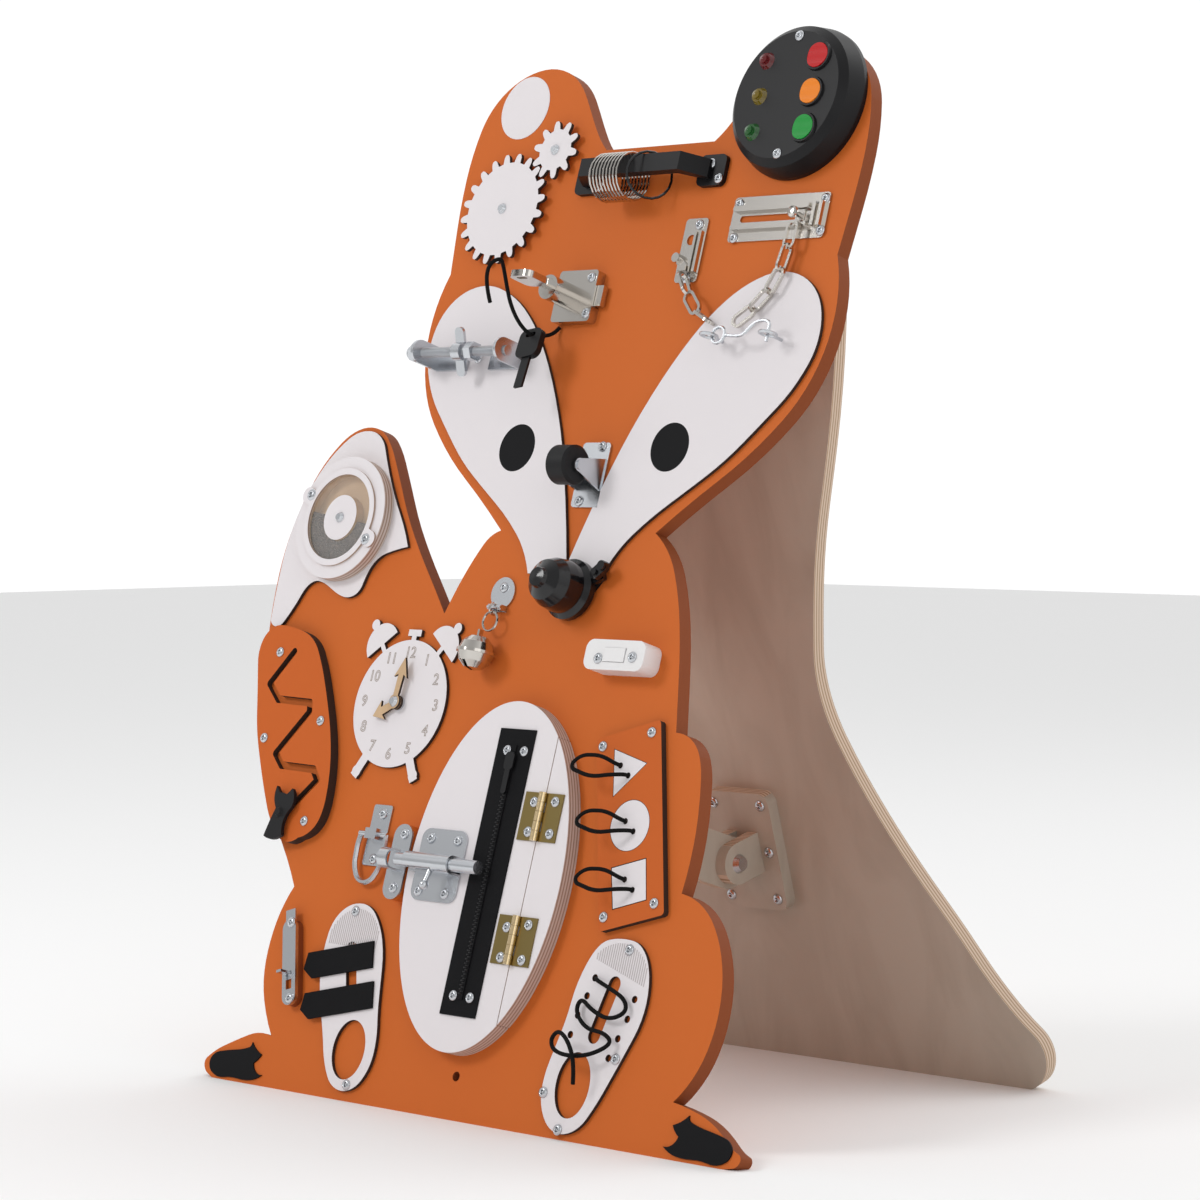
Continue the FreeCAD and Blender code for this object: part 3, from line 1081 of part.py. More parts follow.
lace = [(114, 113, 1.6), (117, 112, LACE_W + 1.5), (134, 107, LACE_W + 3), (150, 101, LACE_W + 2), (154, 92, LACE_W + 2),
        (141, 85, LACE_W + 4), (124, 90, LACE_W + 5), (109, 98, LACE_W + 2), (106, 88, LACE_W + 2),
        (121, 77, LACE_W + 4), (141, 76, LACE_W + 6), (148, 70, LACE_W + 3), (136, 60, LACE_W + 8), (120, 56, LACE_W + 12),
        (103, 58, LACE_W + 12), (96, 66, LACE_W + 10), (104, 73, LACE_W + 12), (119, 66, LACE_W + 16),
        (128, 52, LACE_W + 15), (126, 38, LACE_W + 10)]
keep("shoe_lace", cord([(u * SCALE, v * SCALE, w) for u, v, w in lace], size("lace_diameter")))

# The lock keys' cord: from under the lock case, through the spare key and round the door key
b = BARREL
cord_points = [(b.x - 5, b.y - 23, 1.7), (b.x - 7, b.y - 29, 4), (b.x - 8, b.y - 34, 14), (b.x - 5, b.y - 39, 26),
               (b.x - 10, b.y - 33, 37), (b.x - 15, b.y - 20, 46), (b.x - 17, b.y - 5, 53), (b.x - 16, b.y + 5, 60),
               (b.x - 12, b.y + 9, 68), (b.x - 17, b.y + 2, 74), (b.x - 22, b.y - 11, 68), (b.x - 24, b.y - 22, 58)]
keep("key_cord", cord(cord_points, size("lace_diameter")))

doc.recompute()
bad = [thing.Name for thing in doc.Objects if "Invalid" in thing.State or "Error" in thing.State]
bad += [thing.Label for thing in PIECES if thing.Shape.isNull() or not thing.Shape.isValid()]
if bad:
    raise SystemExit("these objects failed: " + ", ".join(bad))
os.makedirs("parts", exist_ok=True)
for thing in PIECES:
    thing.Shape.exportStep("parts/%s.step" % thing.Label)
print(len(PIECES), "parts")
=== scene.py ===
"""Looks for the wooden busy board: paint, plywood, screws, laces, zip, numerals, light and camera."""

import math

import bmesh
import bpy
from mathutils import Matrix, Vector


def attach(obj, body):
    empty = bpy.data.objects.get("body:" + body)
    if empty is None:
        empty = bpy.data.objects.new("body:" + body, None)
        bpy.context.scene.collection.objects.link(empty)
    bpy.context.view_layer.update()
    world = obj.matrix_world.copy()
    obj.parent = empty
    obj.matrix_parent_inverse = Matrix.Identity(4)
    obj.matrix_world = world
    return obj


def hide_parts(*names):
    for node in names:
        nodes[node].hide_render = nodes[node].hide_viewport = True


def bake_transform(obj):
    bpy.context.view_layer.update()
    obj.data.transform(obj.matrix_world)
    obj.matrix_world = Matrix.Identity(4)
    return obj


MM = 0.001
LEAN = math.radians(17.08)
LEG_DEGREES = 16
LEG_LEAN = math.radians(LEG_DEGREES)
PANEL_FOOT = Vector((0, -6.277, 0)) * MM
RIGHT = Vector((1, 0, 0))
UP = Vector((0, math.sin(LEAN), math.cos(LEAN)))
OUT = Vector((0, -math.cos(LEAN), math.sin(LEAN)))

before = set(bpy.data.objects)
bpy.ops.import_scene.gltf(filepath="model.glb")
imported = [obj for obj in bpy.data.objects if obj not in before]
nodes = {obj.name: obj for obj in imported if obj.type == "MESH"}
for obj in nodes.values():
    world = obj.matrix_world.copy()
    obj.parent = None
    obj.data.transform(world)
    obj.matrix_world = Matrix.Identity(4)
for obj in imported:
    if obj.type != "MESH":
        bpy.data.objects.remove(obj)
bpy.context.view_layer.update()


def on_panel(u, v, w=0.0):
    """A place in millimetres on the leaning panel: right, up and out of its face."""
    return PANEL_FOOT + (RIGHT * u + UP * v + OUT * w) * MM


PANEL_TURN = Matrix((RIGHT, UP, OUT)).transposed().to_4x4()


def panel_matrix(u, v, w=0.0, turn=0.0):
    return Matrix.Translation(on_panel(u, v, w)) @ PANEL_TURN @ Matrix.Rotation(math.radians(turn), 4, "Z")


# Finishes


def plain(name, colour, rough=0.5, metal=0.0, coat=0.0, glow=0.0, shine=0.5):
    material = bpy.data.materials.new(name)
    material.use_nodes = True
    shader = material.node_tree.nodes["Principled BSDF"]
    shader.inputs["Base Color"].default_value = (*colour, 1)
    shader.inputs["Roughness"].default_value = rough
    shader.inputs["Metallic"].default_value = metal
    shader.inputs["Coat Weight"].default_value = coat
    shader.inputs["Specular IOR Level"].default_value = shine
    shader.inputs["Emission Color"].default_value = (*colour, 1)
    shader.inputs["Emission Strength"].default_value = glow
    return material


def add_bump(material, texture, factor_socket, strength, distance=0.0002):
    """Lets a texture raise the surface a little."""
    tree = material.node_tree
    bump = tree.nodes.new("ShaderNodeBump")
    bump.inputs["Strength"].default_value = strength
    bump.inputs["Distance"].default_value = distance
    tree.links.new(texture.outputs[factor_socket], bump.inputs["Height"])
    tree.links.new(bump.outputs["Normal"], tree.nodes["Principled BSDF"].inputs["Normal"])


def mapped(material, kind, turn=(0, 0, 0), stretch=(1, 1, 1)):
    """A texture on the piece's own object coordinates, turned and stretched."""
    tree = material.node_tree
    place = tree.nodes.new("ShaderNodeTexCoord")
    mapping = tree.nodes.new("ShaderNodeMapping")
    mapping.inputs["Rotation"].default_value = turn
    mapping.inputs["Scale"].default_value = stretch
    texture = tree.nodes.new(kind)
    tree.links.new(place.outputs["Object"], mapping.inputs["Vector"])
    tree.links.new(mapping.outputs["Vector"], texture.inputs["Vector"])
    return texture


def coloured(material, texture, socket, stops):
    tree = material.node_tree
    ramp = tree.nodes.new("ShaderNodeValToRGB")
    while len(ramp.color_ramp.elements) < len(stops):
        ramp.color_ramp.elements.new(0.5)
    for element, (at, colour) in zip(ramp.color_ramp.elements, stops):
        element.position = at
        element.color = (*colour, 1)
    tree.links.new(texture.outputs[socket], ramp.inputs["Fac"])
    tree.links.new(ramp.outputs["Color"], tree.nodes["Principled BSDF"].inputs["Base Color"])


def paint(name, colour, rough=0.55, shine=0.15):
    """Rolled paint with a very fine stipple."""
    material = plain(name, colour, rough, shine=shine)
    noise = mapped(material, "ShaderNodeTexNoise")
    noise.inputs["Scale"].default_value = 900
    add_bump(material, noise, 0, 0.08, 0.0001)
    return material


def birch(name, tilt, light, dark):
    """Birch veneer with long soft grain."""
    material = plain(name, light, 0.6)
    noise = mapped(material, "ShaderNodeTexNoise", (tilt, 0, 0), (6, 6, 1.2))
    noise.inputs["Scale"].default_value = 3.2
    noise.inputs["Detail"].default_value = 6
    noise.inputs["Distortion"].default_value = 1.4
    coloured(material, noise, 0, [(0.32, dark), (0.62, light)])
    return material


def layers(name, tilt, spacing, light, dark):
    """Cut plywood edge: glue lines at even spacing through the sheet."""
    material = plain(name, light, 0.65)
    wave = mapped(material, "ShaderNodeTexWave", (tilt, 0, 0))
    wave.bands_direction = "Y"
    wave.inputs["Scale"].default_value = 0.314 / spacing / MM / 2
    wave.inputs["Distortion"].default_value = 0.3
    coloured(material, wave, 1, [(0.25, dark), (0.6, light)])
    return material


LEG_TILT = -LEG_LEAN
SLOT_FLOOR = 3.2
LEAF_TOP = 13.9
DRUM_MIDDLE = (-246.3, 436.6)
WINDOW_RADIUS = 35.8
FLAT = 0.7  # a face whose normal is at least this far along the sheet's own normal is not an edge
orange = paint("orange paint", (0.60, 0.135, 0.022))
# The panel's edges carry the same orange paint as its face; this darker colour is painted shade for the sides
# turned away from the light.
shaded_orange_edge = paint("orange edge, painted shade", (0.24, 0.058, 0.016), 0.6)
orange_board = paint("orange fitting board", (0.57, 0.118, 0.018))
white = paint("white paint", (0.78, 0.74, 0.755))
white_edge = layers("white ply edge", LEAN, 1.4, (0.62, 0.53, 0.48), (0.36, 0.25, 0.19))
burnt = plain("laser-burnt edge", (0.030, 0.014, 0.008), 0.8)
black_paint = plain("black paint", (0.006, 0.006, 0.007), 0.6, shine=0.12)
# Birch veneer for the leg and brace: both birch colours are darkened as painted shade for the leg behind the
# panel; the grain between them is the wood's own.
veneer = birch("birch veneer, painted shade", LEG_TILT, (0.50, 0.44, 0.365), (0.43, 0.37, 0.30))
ply_edge = layers("birch ply edge", LEG_TILT, 1.4, (0.66, 0.52, 0.40), (0.40, 0.26, 0.16))
bare_wood = birch("bare wood", 0.0, (0.62, 0.43, 0.25), (0.50, 0.32, 0.17))
zinc = plain("zinc plate", (0.60, 0.62, 0.65), 0.27, 1.0)
nickel = plain("nickel plate", (0.62, 0.59, 0.55), 0.16, 1.0)
brass = plain("brass plate", (0.27, 0.20, 0.075), 0.30, 1.0)
# The knuckles are the same brass as the plate above; this much brighter colour is a painted highlight on
# their round faces.
brass_knuckle_painted_highlight = plain("brass knuckle, painted highlight", (0.80, 0.62, 0.36), 0.18, 1.0)
black_plastic = plain("black plastic", (0.006, 0.006, 0.007), 0.42, shine=0.25)
gloss_black = plain("gloss black", (0.006, 0.006, 0.007), 0.16, coat=0.2, shine=0.4)
rubber = plain("black rubber", (0.008, 0.008, 0.009), 0.5, shine=0.25)
white_plastic = plain("white plastic", (0.80, 0.79, 0.79), 0.35)
# The three rocker lenses get a faint emission (glow 0.12, 0.12, 0.10) as a painted glow; the rockers hold no
# lamp.
red_rocker_painted_glow = plain("red rocker, painted glow", (0.45, 0.004, 0.006), 0.12, coat=0.5, glow=0.12)
amber_rocker_painted_glow = plain("amber rocker, painted glow", (0.75, 0.20, 0.005), 0.12, coat=0.5, glow=0.12)
green_rocker_painted_glow = plain("green rocker, painted glow", (0.006, 0.26, 0.035), 0.12, coat=0.5, glow=0.10)
red_lamp = plain("red lamp", (0.12, 0.004, 0.006), 0.15, coat=0.5)
amber_lamp = plain("amber lamp", (0.16, 0.11, 0.005), 0.15, coat=0.5)
green_lamp = plain("green lamp", (0.010, 0.09, 0.015), 0.15, coat=0.5)
clear = plain("clear pane", (0.95, 0.93, 0.90), 0.05)
clear.node_tree.nodes["Principled BSDF"].inputs["Alpha"].default_value = 0.1
seeds = plain("dark seeds", (0.020, 0.009, 0.005), 0.6)
marks = plain("engraved marks", (0.33, 0.27, 0.22), 0.8)

lace_weave = plain("braided lace", (0.006, 0.006, 0.006), 0.85, shine=0.15)
braid = mapped(lace_weave, "ShaderNodeTexVoronoi")
braid.inputs["Scale"].default_value = 1100
add_bump(lace_weave, braid, 0, 0.8, 0.0004)
webbing = plain("black webbing", (0.006, 0.006, 0.007), 0.8, shine=0.15)
rows = mapped(webbing, "ShaderNodeTexWave", (0, 0, 0.3))
rows.inputs["Scale"].default_value = 320
add_bump(webbing, rows, 1, 0.5, 0.0003)
thread_steel = plain("threaded steel", (0.55, 0.57, 0.60), 0.3, 1.0)
thread = mapped(thread_steel, "ShaderNodeTexWave")
thread.inputs["Scale"].default_value = 0.314 / 1.25 / MM
add_bump(thread_steel, thread, 1, 1.0, 0.0007)
seed_noise = mapped(seeds, "ShaderNodeTexNoise")
seed_noise.inputs["Scale"].default_value = 700
coloured(seeds, seed_noise, 0, [(0.42, (0.016, 0.010, 0.009)), (0.66, (0.13, 0.09, 0.07))])
add_bump(seeds, seed_noise, 0, 1.0, 0.002)


def finish(node, *materials, choose=None):
    """Paints a CAD node.

    choose gives the material's number from a face's normal and centre in the panel's frame.
    """
    mesh = nodes[node].data
    mesh.materials.clear()
    for material in materials:
        mesh.materials.append(material)
    for face in mesh.polygons:
        if choose:
            place = face.center / MM - PANEL_FOOT / MM
            where = Vector((place.dot(RIGHT), place.dot(UP), place.dot(OUT)))
            turned = Vector((face.normal.dot(RIGHT), face.normal.dot(UP), face.normal.dot(OUT)))
            face.material_index = choose(turned, where)
        else:
            face.material_index = 0


def face_or_edge(normal, place):
    return 0 if abs(normal.z) > FLAT else 1


finish("front_panel", orange, shaded_orange_edge, choose=face_or_edge)
finish("white_covers", white, burnt, choose=face_or_edge)
finish("black_covers", black_paint)
finish("gear_large", white, burnt, choose=face_or_edge)
finish("gear_small", white, burnt, choose=face_or_edge)
finish("clock_face", white, burnt, choose=face_or_edge)
finish("hour_hand", bare_wood, burnt, choose=face_or_edge)
finish("minute_hand", bare_wood, burnt, choose=face_or_edge)
finish("maze_plate", orange_board, burnt, orange,
       choose=lambda n, p: (2 if p.z < SLOT_FLOOR else 0) if n.z > FLAT else 1)
finish("maze_rider", rubber)
finish("door_leaf", white, white_edge, choose=face_or_edge)
finish("belly_strip", white, white_edge, orange, choose=lambda n, p: 2 if p.x < -80 else face_or_edge(n, p))
finish("lacing_board", orange_board, burnt, choose=face_or_edge)
for shape in ("circle", "square", "triangle"):
    finish("inset_" + shape, white, burnt, lace_weave,
           choose=lambda n, p: 2 if p.z > 5.3 or (p.z > 5.05 and abs(n.z) < 0.9) else face_or_edge(n, p))


def drum_face(normal, place):
    """Bare wood inside the window, painted outside it."""
    from_middle = math.hypot(place.x - DRUM_MIDDLE[0], place.y - DRUM_MIDDLE[1])
    inside = from_middle < WINDOW_RADIUS and place.z < 12.2
    return 2 if inside else face_or_edge(normal, place)


finish("sand_drum", white, white_edge, bare_wood, choose=drum_face)
finish("drum_window_pane", clear)
finish("drum_seeds", seeds)
finish("light_box", black_plastic)


def lamp_colour(normal, place):
    if place.x > 137:
        return 0
    return 1 if place.y > 764 else 2 if place.y > 738 else 3


finish("box_fittings", black_plastic, red_lamp, amber_lamp, green_lamp, choose=lamp_colour)
finish("rocker_red", red_rocker_painted_glow)
finish("rocker_amber", amber_rocker_painted_glow)
finish("rocker_green", green_rocker_painted_glow)
finish("stand_brace", veneer, ply_edge, choose=lambda n, p: 0 if abs(n.x) > FLAT or abs(n.z) > FLAT else 1)
leg_out = Vector((0, math.cos(LEG_LEAN), math.sin(LEG_LEAN)))
finish("stand_leg", veneer, ply_edge)
for face in nodes["stand_leg"].data.polygons:
    face.material_index = 0 if abs(face.normal.dot(leg_out)) > FLAT else 1
rod_axis = Vector((0, 565, 22))
finish("threaded_rod", zinc, thread_steel,
       choose=lambda n, p: 1 if (Vector((0, p.y, p.z)) - rod_axis).length < 4.2 and abs(n.x) < 0.5 else 0)
finish("switch_case", white_plastic)
finish("switch_button", white_plastic)
for node in ("grab_handle", "spare_key", "zip_slider"):
    finish(node, black_plastic)
for node in ("bicycle_bell", "bell_lever"):
    finish(node, gloss_black)
for node in ("pivot_screws", "stand_hardware", "eyes_and_staple", "wing_nut", "caster_fork", "hook",
             "latch_fixtures", "latch_plate", "latch_bolt", "pull_ring", "flush_bolt"):
    finish(node, zinc)
for node in ("chain_plates", "chain_slider", "door_chain", "jingle_bell", "drawer_lock", "lock_bolt",
             "door_key"):
    finish(node, nickel)
# Faces above the leaf tops, the knuckles, get the brass with the painted highlight.
for node in ("strip_hinge_leaves", "door_hinge_leaves"):
    finish(node, brass, brass_knuckle_painted_highlight, choose=lambda n, p: 1 if p.z > LEAF_TOP else 0)
finish("caster_wheel", rubber)
for node in ("shoe_straps", "zip_tape"):
    finish(node, webbing)
finish("grip_rings", nickel, gloss_black, choose=lambda n, p: 1 if p.x > 6 else 0)


# Helpers that make meshes


def mesh_object(name, mesh, material, body="board", smooth=True):
    thing = bpy.data.objects.new(name, mesh)
    bpy.context.scene.collection.objects.link(thing)
    mesh.materials.clear()
    mesh.materials.append(material)
    for face in mesh.polygons:
        face.use_smooth = smooth
    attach(thing, body)
    return thing


def from_bmesh(name, bm, material, body="board", smooth=True):
    bmesh.ops.recalc_face_normals(bm, faces=bm.faces)
    mesh = bpy.data.meshes.new(name)
    bm.to_mesh(mesh)
    bm.free()
    return mesh_object(name, mesh, material, body, smooth)


def lathed(bm, profile, matrix, sides=24):
    """Adds a turned shape: profile of (radius, height) in millimetres, closed on the axis at both ends."""
    rings = []
    for radius, height in profile:
        ring = []
        for n in range(sides):
            angle = 2 * math.pi * n / sides
            point = Vector((radius * math.cos(angle), radius * math.sin(angle), height)) * MM
            ring.append(bm.verts.new(matrix @ point))
        rings.append(ring)
    for low, high in zip(rings, rings[1:]):
        for n in range(sides):
            m = (n + 1) % sides
            bm.faces.new((low[n], low[m], high[m], high[n]))
    bm.faces.new(list(reversed(rings[0])))
    bm.faces.new(rings[-1])


# Screws: a geometry-nodes tree puts one modelled head on every point

screw_shape = bmesh.new()
lathed(screw_shape, [(4.0, 0), (4.0, 0.5), (3.5, 1.2), (2.4, 1.8), (1.9, 1.9), (1.8, 0.9), (0.1, 0.8)],
       Matrix.Identity(4), 20)
screw_mesh = bpy.data.meshes.new("screw head")
bmesh.ops.recalc_face_normals(screw_shape, faces=screw_shape.faces)
for cross in (0, 90):
    bar = bmesh.ops.create_cube(screw_shape, size=1.0)
    bar_shape = Matrix.Diagonal((3.4 * MM, 0.7 * MM, 0.5 * MM, 1))
    squash = Matrix.Rotation(math.radians(cross + 45), 4, "Z") @ bar_shape
    bmesh.ops.transform(screw_shape, matrix=Matrix.Translation((0, 0, 1.2 * MM)) @ squash, verts=bar["verts"])
screw_shape.to_mesh(screw_mesh)
screw_shape.free()
screw_head = bpy.data.objects.new("screw head source", screw_mesh)


def repeat_tree(name, source, material, turn):
    """Points in, one copy of the source on each, all turned the same way."""
    tree = bpy.data.node_groups.new(name, "GeometryNodeTree")
    tree.interface.new_socket("Geometry", in_out="INPUT", socket_type="NodeSocketGeometry")
    tree.interface.new_socket("Size", in_out="INPUT", socket_type="NodeSocketFloat")
    tree.interface.new_socket("Geometry", in_out="OUTPUT", socket_type="NodeSocketGeometry")
    entry = tree.nodes.new("NodeGroupInput")
    leave = tree.nodes.new("NodeGroupOutput")
    info = tree.nodes.new("GeometryNodeObjectInfo")
    info.inputs["Object"].default_value = source
    copies = tree.nodes.new("GeometryNodeInstanceOnPoints")
    copies.inputs["Rotation"].default_value = turn
    real = tree.nodes.new("GeometryNodeRealizeInstances")
    colour = tree.nodes.new("GeometryNodeSetMaterial")
    colour.inputs["Material"].default_value = material
    link = tree.links.new
    link(entry.outputs["Geometry"], copies.inputs["Points"])
    link(info.outputs["Geometry"], copies.inputs["Instance"])
    link(entry.outputs["Size"], copies.inputs["Scale"])
    link(copies.outputs["Instances"], real.inputs["Geometry"])
    link(real.outputs["Geometry"], colour.inputs["Geometry"])
    link(colour.outputs["Geometry"], leave.inputs["Geometry"])
    return tree


def repeated(name, source, places, material, body, turn, scale=1.0):
    """One plain mesh of copies of the source at the places."""
    mesh = bpy.data.meshes.new(name)
    mesh.from_pydata(places, [], [])
    carrier = bpy.data.objects.new(name, mesh)
    bpy.context.scene.collection.objects.link(carrier)
    tree = repeat_tree(name + " tree", source, material, turn)
    modifier = carrier.modifiers.new("copies", "NODES")
    modifier.node_group = tree
    size_socket = next(s for s in tree.interface.items_tree if s.name == "Size")
    modifier[size_socket.identifier] = scale
    ready = carrier.evaluated_get(bpy.context.evaluated_depsgraph_get())
    result = bpy.data.meshes.new_from_object(ready)
    bpy.data.objects.remove(carrier)
    return mesh_object(name, result, material, body)


PANEL_EULER = PANEL_TURN.to_euler()
SCREWS = {
    "board": [
        (139, 795, 22), (141, 706, 22), (-62.6, 711, 4), (-50, 698, 4), (61, 710, 4), (71, 698, 4),
        (95, 678, 1.5), (96, 652, 1.5), (177, 678, 1.5), (178, 654, 1.5), (59.5, 664, 1.5), (57, 623, 1.5),
        (-32.9, 625, 8), (-31, 597, 8), (10, 496, 2), (-2, 454.5, 2), (-60.5, 388, 1.6),
        (66, 335, 17), (99, 337, 17), (-285, 329, 8), (-221, 277.5, 8), (-281, 261, 8), (-214, 200, 8),
        (50.7, 230.6, 13.5), (51.6, 207.6, 13.5), (50.3, 142, 13.5), (50.6, 117.2, 13.5),
        (-95, 197, 13.8), (-95, 157, 13.8), (-136, 212, 1.5), (-136, 178, 1.5),
        (-140.8, 138, 3), (-110, 11.7, 3), (141, 135, 3), (109, 6.5, 3),
        (77, 274.5, 5), (121, 287, 5), (112, 155, 5), (156.5, 168.5, 5), (-138.5, 565, 5.5),
        (-202.5, 123, 8), (-186, 67, 8), (88, 30, 3), (149, 60, 3),
    ],
    "door": [
        (30, 229.3, 13.5), (30, 207.7, 13.5), (29.5, 138.8, 13.5), (29.5, 117.3, 13.5),
        (-8, 265, 13.5), (9, 265, 13.5), (-9, 86, 13.5), (8, 86, 13.5),
        (-66, 196, 13.8), (-38, 196, 13.8), (-68, 157, 13.8), (-40, 157, 13.8),
    ],
}
for body, places in SCREWS.items():
    repeated("screws_on_" + body, screw_head, [on_panel(*p) for p in places], zinc, body, PANEL_EULER)
DRUM_SCREWS = [(-283, 454, 13.8), (-209.6, 419.2, 13.8)]
repeated("drum_ear_screws", screw_head, [on_panel(*p) for p in DRUM_SCREWS], zinc, "drum", PANEL_EULER, 1.2)
leg_turn = Matrix.Rotation(math.radians(90 + LEG_DEGREES), 4, "X").to_euler()
LEG_TOP_DEPTH = 383.7


def on_leg(x, y, z=0.0):
    """A place in millimetres on the leg's inner face."""
    across = LEG_TOP_DEPTH - y * math.sin(LEG_LEAN) - z * math.cos(LEG_LEAN)
    return Vector((x, across, y * math.cos(LEG_LEAN) - z * math.sin(LEG_LEAN))) * MM


BRACKET_SCREWS = [(-21 + a, 174 + b, 10) for a in (-24, 24) for b in (-38, 0, 38)]
repeated("bracket_screws", screw_head, [on_leg(*p) for p in BRACKET_SCREWS], zinc, "board", leg_turn, 1.1)

# Plain white sticker on the ear
disc = bmesh.new()
lathed(disc, [(25.5, 0.05), (25.5, 0.35)], panel_matrix(-154, 769.5), 48)
from_bmesh("ear_sticker", disc, white, "board", smooth=False)

# The clock's hollow numerals
CLOCK = (-143.7, 296)
NUMERAL_RADIUS = 39
NUMERAL_SIZE = 12
for number in range(1, 13):
    words = bpy.data.curves.new("numeral %d" % number, "FONT")
    words.body = str(number)
    words.size = NUMERAL_SIZE * MM
    words.align_x = "CENTER"
    words.align_y = "CENTER"
    words.fill_mode = "NONE"
    words.bevel_depth = 0.28 * MM
    words.bevel_resolution = 0
    angle = math.radians(90 - 30 * number)
    across, up = NUMERAL_RADIUS * math.cos(angle), NUMERAL_RADIUS * math.sin(angle)
    place = panel_matrix(CLOCK[0] + across, CLOCK[1] + up, 3.0)
    label = bpy.data.objects.new("numeral source", words)
    bpy.context.scene.collection.objects.link(label)
    ready = label.evaluated_get(bpy.context.evaluated_depsgraph_get())
    numeral = bpy.data.meshes.new_from_object(ready)
    bpy.data.objects.remove(label)
    numeral.transform(place)
    mesh_object("numeral_%d" % number, numeral, marks)

# Engraved lines on the shoe templates' toes
toe_grey = paint("toe line grey", (0.52, 0.48, 0.48))
LINE_STEP = 2.1
LINE_WIDE = 0.7
RIM = 3  # plain wood left between the lines and the edge


def toe_lines(name, edges, lowest, middle, reach):
    """Fine engraved lines over a shoe's toe, inside an oval about the middle."""
    bm = bmesh.new()
    u = edges[0]
    while u <= edges[1]:
        part = math.sqrt(max(0, 1 - ((u - middle[0]) / reach[0]) ** 2))
        low, high = lowest(u), middle[1] + reach[1] * part - RIM
        if high - low > RIM:
            bar = bmesh.ops.create_cube(bm, size=1.0)
            shape = Matrix.Diagonal((LINE_WIDE * MM, (high - low) * MM, 0.3 * MM, 1))
            bmesh.ops.transform(bm, matrix=panel_matrix(u, (high + low) / 2, 3.1) @ shape, verts=bar["verts"])
        u += LINE_STEP
    from_bmesh(name, bm, toe_grey, "board", smooth=False)


toe_lines("strap_shoe_lines", (-162, -110), lambda u: 112, (-136, 112), (29, 31))
toe_lines("lace_shoe_lines", (106, 162), lambda u: 128 - 0.3 * (u - 105), (134, 112), (31, 30))

# Zip teeth
tooth = bmesh.new()
bmesh.ops.create_cube(tooth, size=1.0)
bmesh.ops.transform(tooth, matrix=Matrix.Diagonal((3.2 * MM, 1.0 * MM, 0.7 * MM, 1)), verts=tooth.verts)
tooth_mesh = bpy.data.meshes.new("tooth")
tooth.to_mesh(tooth_mesh)
tooth.free()
tooth_source = bpy.data.objects.new("tooth source", tooth_mesh)
ZIP_U = -1.5
ZIP_FOOT = 88
ZIP_FACE = 14.6
TOOTH_PITCH = 1.55
TEETH = 112
teeth = [on_panel(ZIP_U + (0.8 if n % 2 else -0.8), ZIP_FOOT + TOOTH_PITCH * n, ZIP_FACE)
         for n in range(TEETH)]
repeated("zip_teeth", tooth_source, teeth, black_plastic, "door", PANEL_EULER)

# A small dot on each rocker
ROCKER_ROWS = {"rocker_red": 778, "rocker_amber": 751, "rocker_green": 724}
for name, v in ROCKER_ROWS.items():
    mark = bmesh.new()
    lathed(mark, [(0.5, 0), (0.5, 0.25)], panel_matrix(161.5, v + 4.5, 24.0), 8)
    from_bmesh("mark_on_" + name, mark, white_plastic, name, smooth=False)

# Laces: the same routes as the solid cords
CORD = 3


def cord_tube(name, points, diameter, material):
    """A tube on a smooth line near the points, with the line's own points and its length."""
    curve = bpy.data.curves.new(name, "CURVE")
    curve.dimensions = "3D"
    curve.bevel_resolution = 3
    curve.use_fill_caps = True
    line = curve.splines.new("NURBS")
    line.points.add(len(points) - 1)
    for point, place in zip(line.points, points):
        point.co = (*place, 1)
    line.order_u = 3
    line.use_endpoint_u = True
    line.resolution_u = 8
    source = bpy.data.objects.new(name + " source", curve)
    bpy.context.scene.collection.objects.link(source)
    made = []
    for depth in (0, diameter / 2 * MM):
        curve.bevel_depth = depth
        bpy.context.view_layer.update()
        ready = source.evaluated_get(bpy.context.evaluated_depsgraph_get())
        made.append(bpy.data.meshes.new_from_object(ready))
    bpy.data.objects.remove(source)
    path = [tuple(v.co) for v in made[0].vertices]
    length = sum(math.dist(p, q) for p, q in zip(path, path[1:]))
    return mesh_object(name, made[1], material), path, length


LACE_W = 5.2
shoe_route = [(114, 113, 1.6), (117, 112, LACE_W + 1.5), (134, 107, LACE_W + 3), (150, 101, LACE_W + 2),
              (154, 92, LACE_W + 2), (141, 85, LACE_W + 4), (124, 90, LACE_W + 5), (109, 98, LACE_W + 2),
              (106, 88, LACE_W + 2), (121, 77, LACE_W + 4), (141, 76, LACE_W + 6), (148, 70, LACE_W + 3),
              (136, 60, LACE_W + 8), (120, 56, LACE_W + 12), (103, 58, LACE_W + 12), (96, 66, LACE_W + 10),
              (104, 73, LACE_W + 12), (119, 66, LACE_W + 16), (128, 52, LACE_W + 15), (126, 38, LACE_W + 10)]
route = [on_panel(*p) for p in shoe_route]
lace, path, length = cord_tube("shoe_lace_cord", route, CORD, lace_weave)
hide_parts("shoe_lace")
b_u, b_v = -57, 612  # the lock's cylinder
key_route = [(b_u - 5, b_v - 23, 1.7), (b_u - 7, b_v - 29, 4), (b_u - 8, b_v - 34, 14),
             (b_u - 5, b_v - 39, 26), (b_u - 10, b_v - 33, 37), (b_u - 15, b_v - 20, 46),
             (b_u - 17, b_v - 5, 53), (b_u - 16, b_v + 5, 60), (b_u - 12, b_v + 9, 68),
             (b_u - 17, b_v + 2, 74), (b_u - 22, b_v - 11, 68), (b_u - 24, b_v - 22, 58)]
route = [on_panel(*p) for p in key_route]
key_loop, path, length = cord_tube("key_cord_loop", route, CORD, lace_weave)
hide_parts("key_cord")

# The door chain: a copy of the CAD chain with its placement baked in, the CAD node hidden
chain = bpy.data.objects.new("door_chain_links", nodes["door_chain"].data.copy())
bpy.context.scene.collection.objects.link(chain)
chain.matrix_world = nodes["door_chain"].matrix_world
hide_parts("door_chain")
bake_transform(chain)

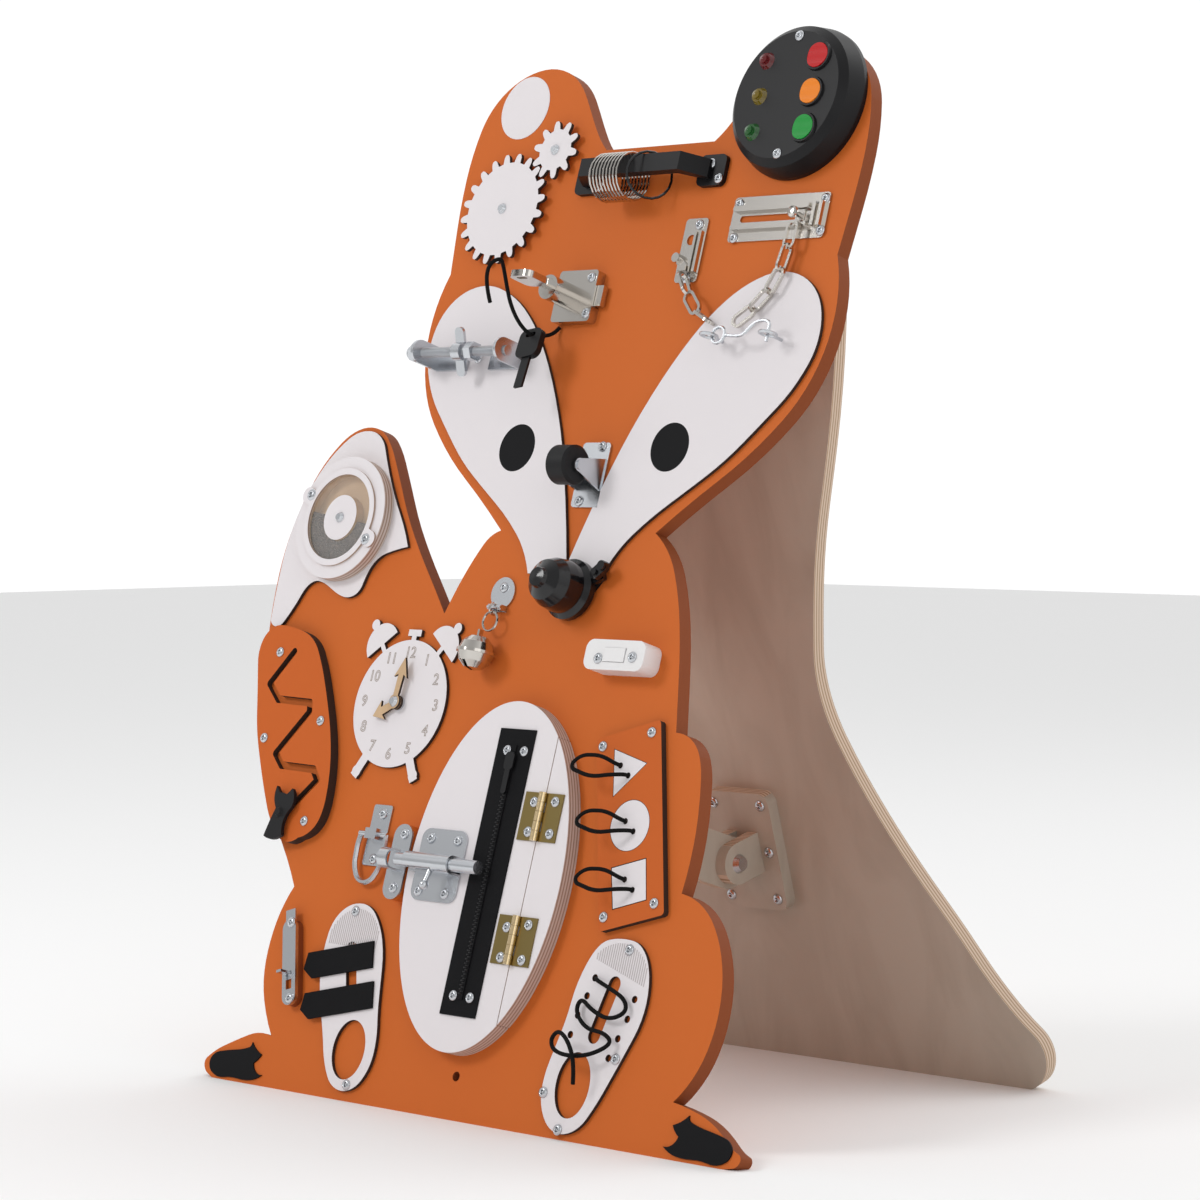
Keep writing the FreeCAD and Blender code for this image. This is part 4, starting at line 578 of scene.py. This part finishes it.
# Studio: pale floor, soft light, camera
floor_mesh = bpy.data.meshes.new("floor")
floor_mesh.from_pydata([(-9, -9, 0), (9, -9, 0), (9, 9, 0), (-9, 9, 0)], [], [(0, 1, 2, 3)])
floor_mesh.materials.append(plain("pale floor", (0.92, 0.92, 0.92), 0.9))
floor = bpy.data.objects.new("floor", floor_mesh)
bpy.context.scene.collection.objects.link(floor)


def area_light(name, place, aim, size, power):
    data = bpy.data.lights.new(name, "AREA")
    data.shape = "DISK"
    data.size = size
    data.energy = power
    lamp = bpy.data.objects.new(name, data)
    lamp.location = place
    lamp.rotation_euler = (Vector(aim) - Vector(place)).to_track_quat("-Z", "Y").to_euler()
    bpy.context.scene.collection.objects.link(lamp)


area_light("key light", (-1.4, -2.4, 2.3), (0, 0, 0.4), 1.2, 36)
area_light("fill light", (2.6, -1.6, 1.6), (0, 0.1, 0.4), 2.2, 10)
area_light("back light", (0.6, 2.6, 2.4), (0, 0.2, 0.4), 2.0, 12)

# A white sky behind the object, dimmer on the camera's side so that the metal has something to mirror
world = bpy.data.worlds.new("studio")
world.use_nodes = True
sky = world.node_tree
sky.nodes["Background"].inputs["Color"].default_value = (1, 1, 1, 1)
where = sky.nodes.new("ShaderNodeTexCoord")
apart = sky.nodes.new("ShaderNodeSeparateXYZ")
fade = sky.nodes.new("ShaderNodeMapRange")
fade.inputs["From Min"].default_value = -0.5
fade.inputs["From Max"].default_value = 0.3
fade.inputs["To Min"].default_value = 0.48
fade.inputs["To Max"].default_value = 1.05
sky.links.new(where.outputs["Generated"], apart.inputs["Vector"])
sky.links.new(apart.outputs["Y"], fade.inputs["Value"])
sky.links.new(fade.outputs["Result"], sky.nodes["Background"].inputs["Strength"])
bpy.context.scene.world = world
bpy.context.scene.view_settings.view_transform = "Standard"

camera_data = bpy.data.cameras.new("camera")
camera_data.lens = 111.79
camera_data.sensor_width = 36
camera = bpy.data.objects.new("camera", camera_data)
camera.location = (1.90654, -1.7917, 0.4623)
yaw, pitch = math.radians(44.555), math.radians(2.096)
back = Vector((math.sin(yaw) * math.cos(pitch), -math.cos(yaw) * math.cos(pitch), math.sin(pitch)))
camera.rotation_euler = (-back).to_track_quat("-Z", "Y").to_euler()
bpy.context.scene.collection.objects.link(camera)
bpy.context.scene.camera = camera
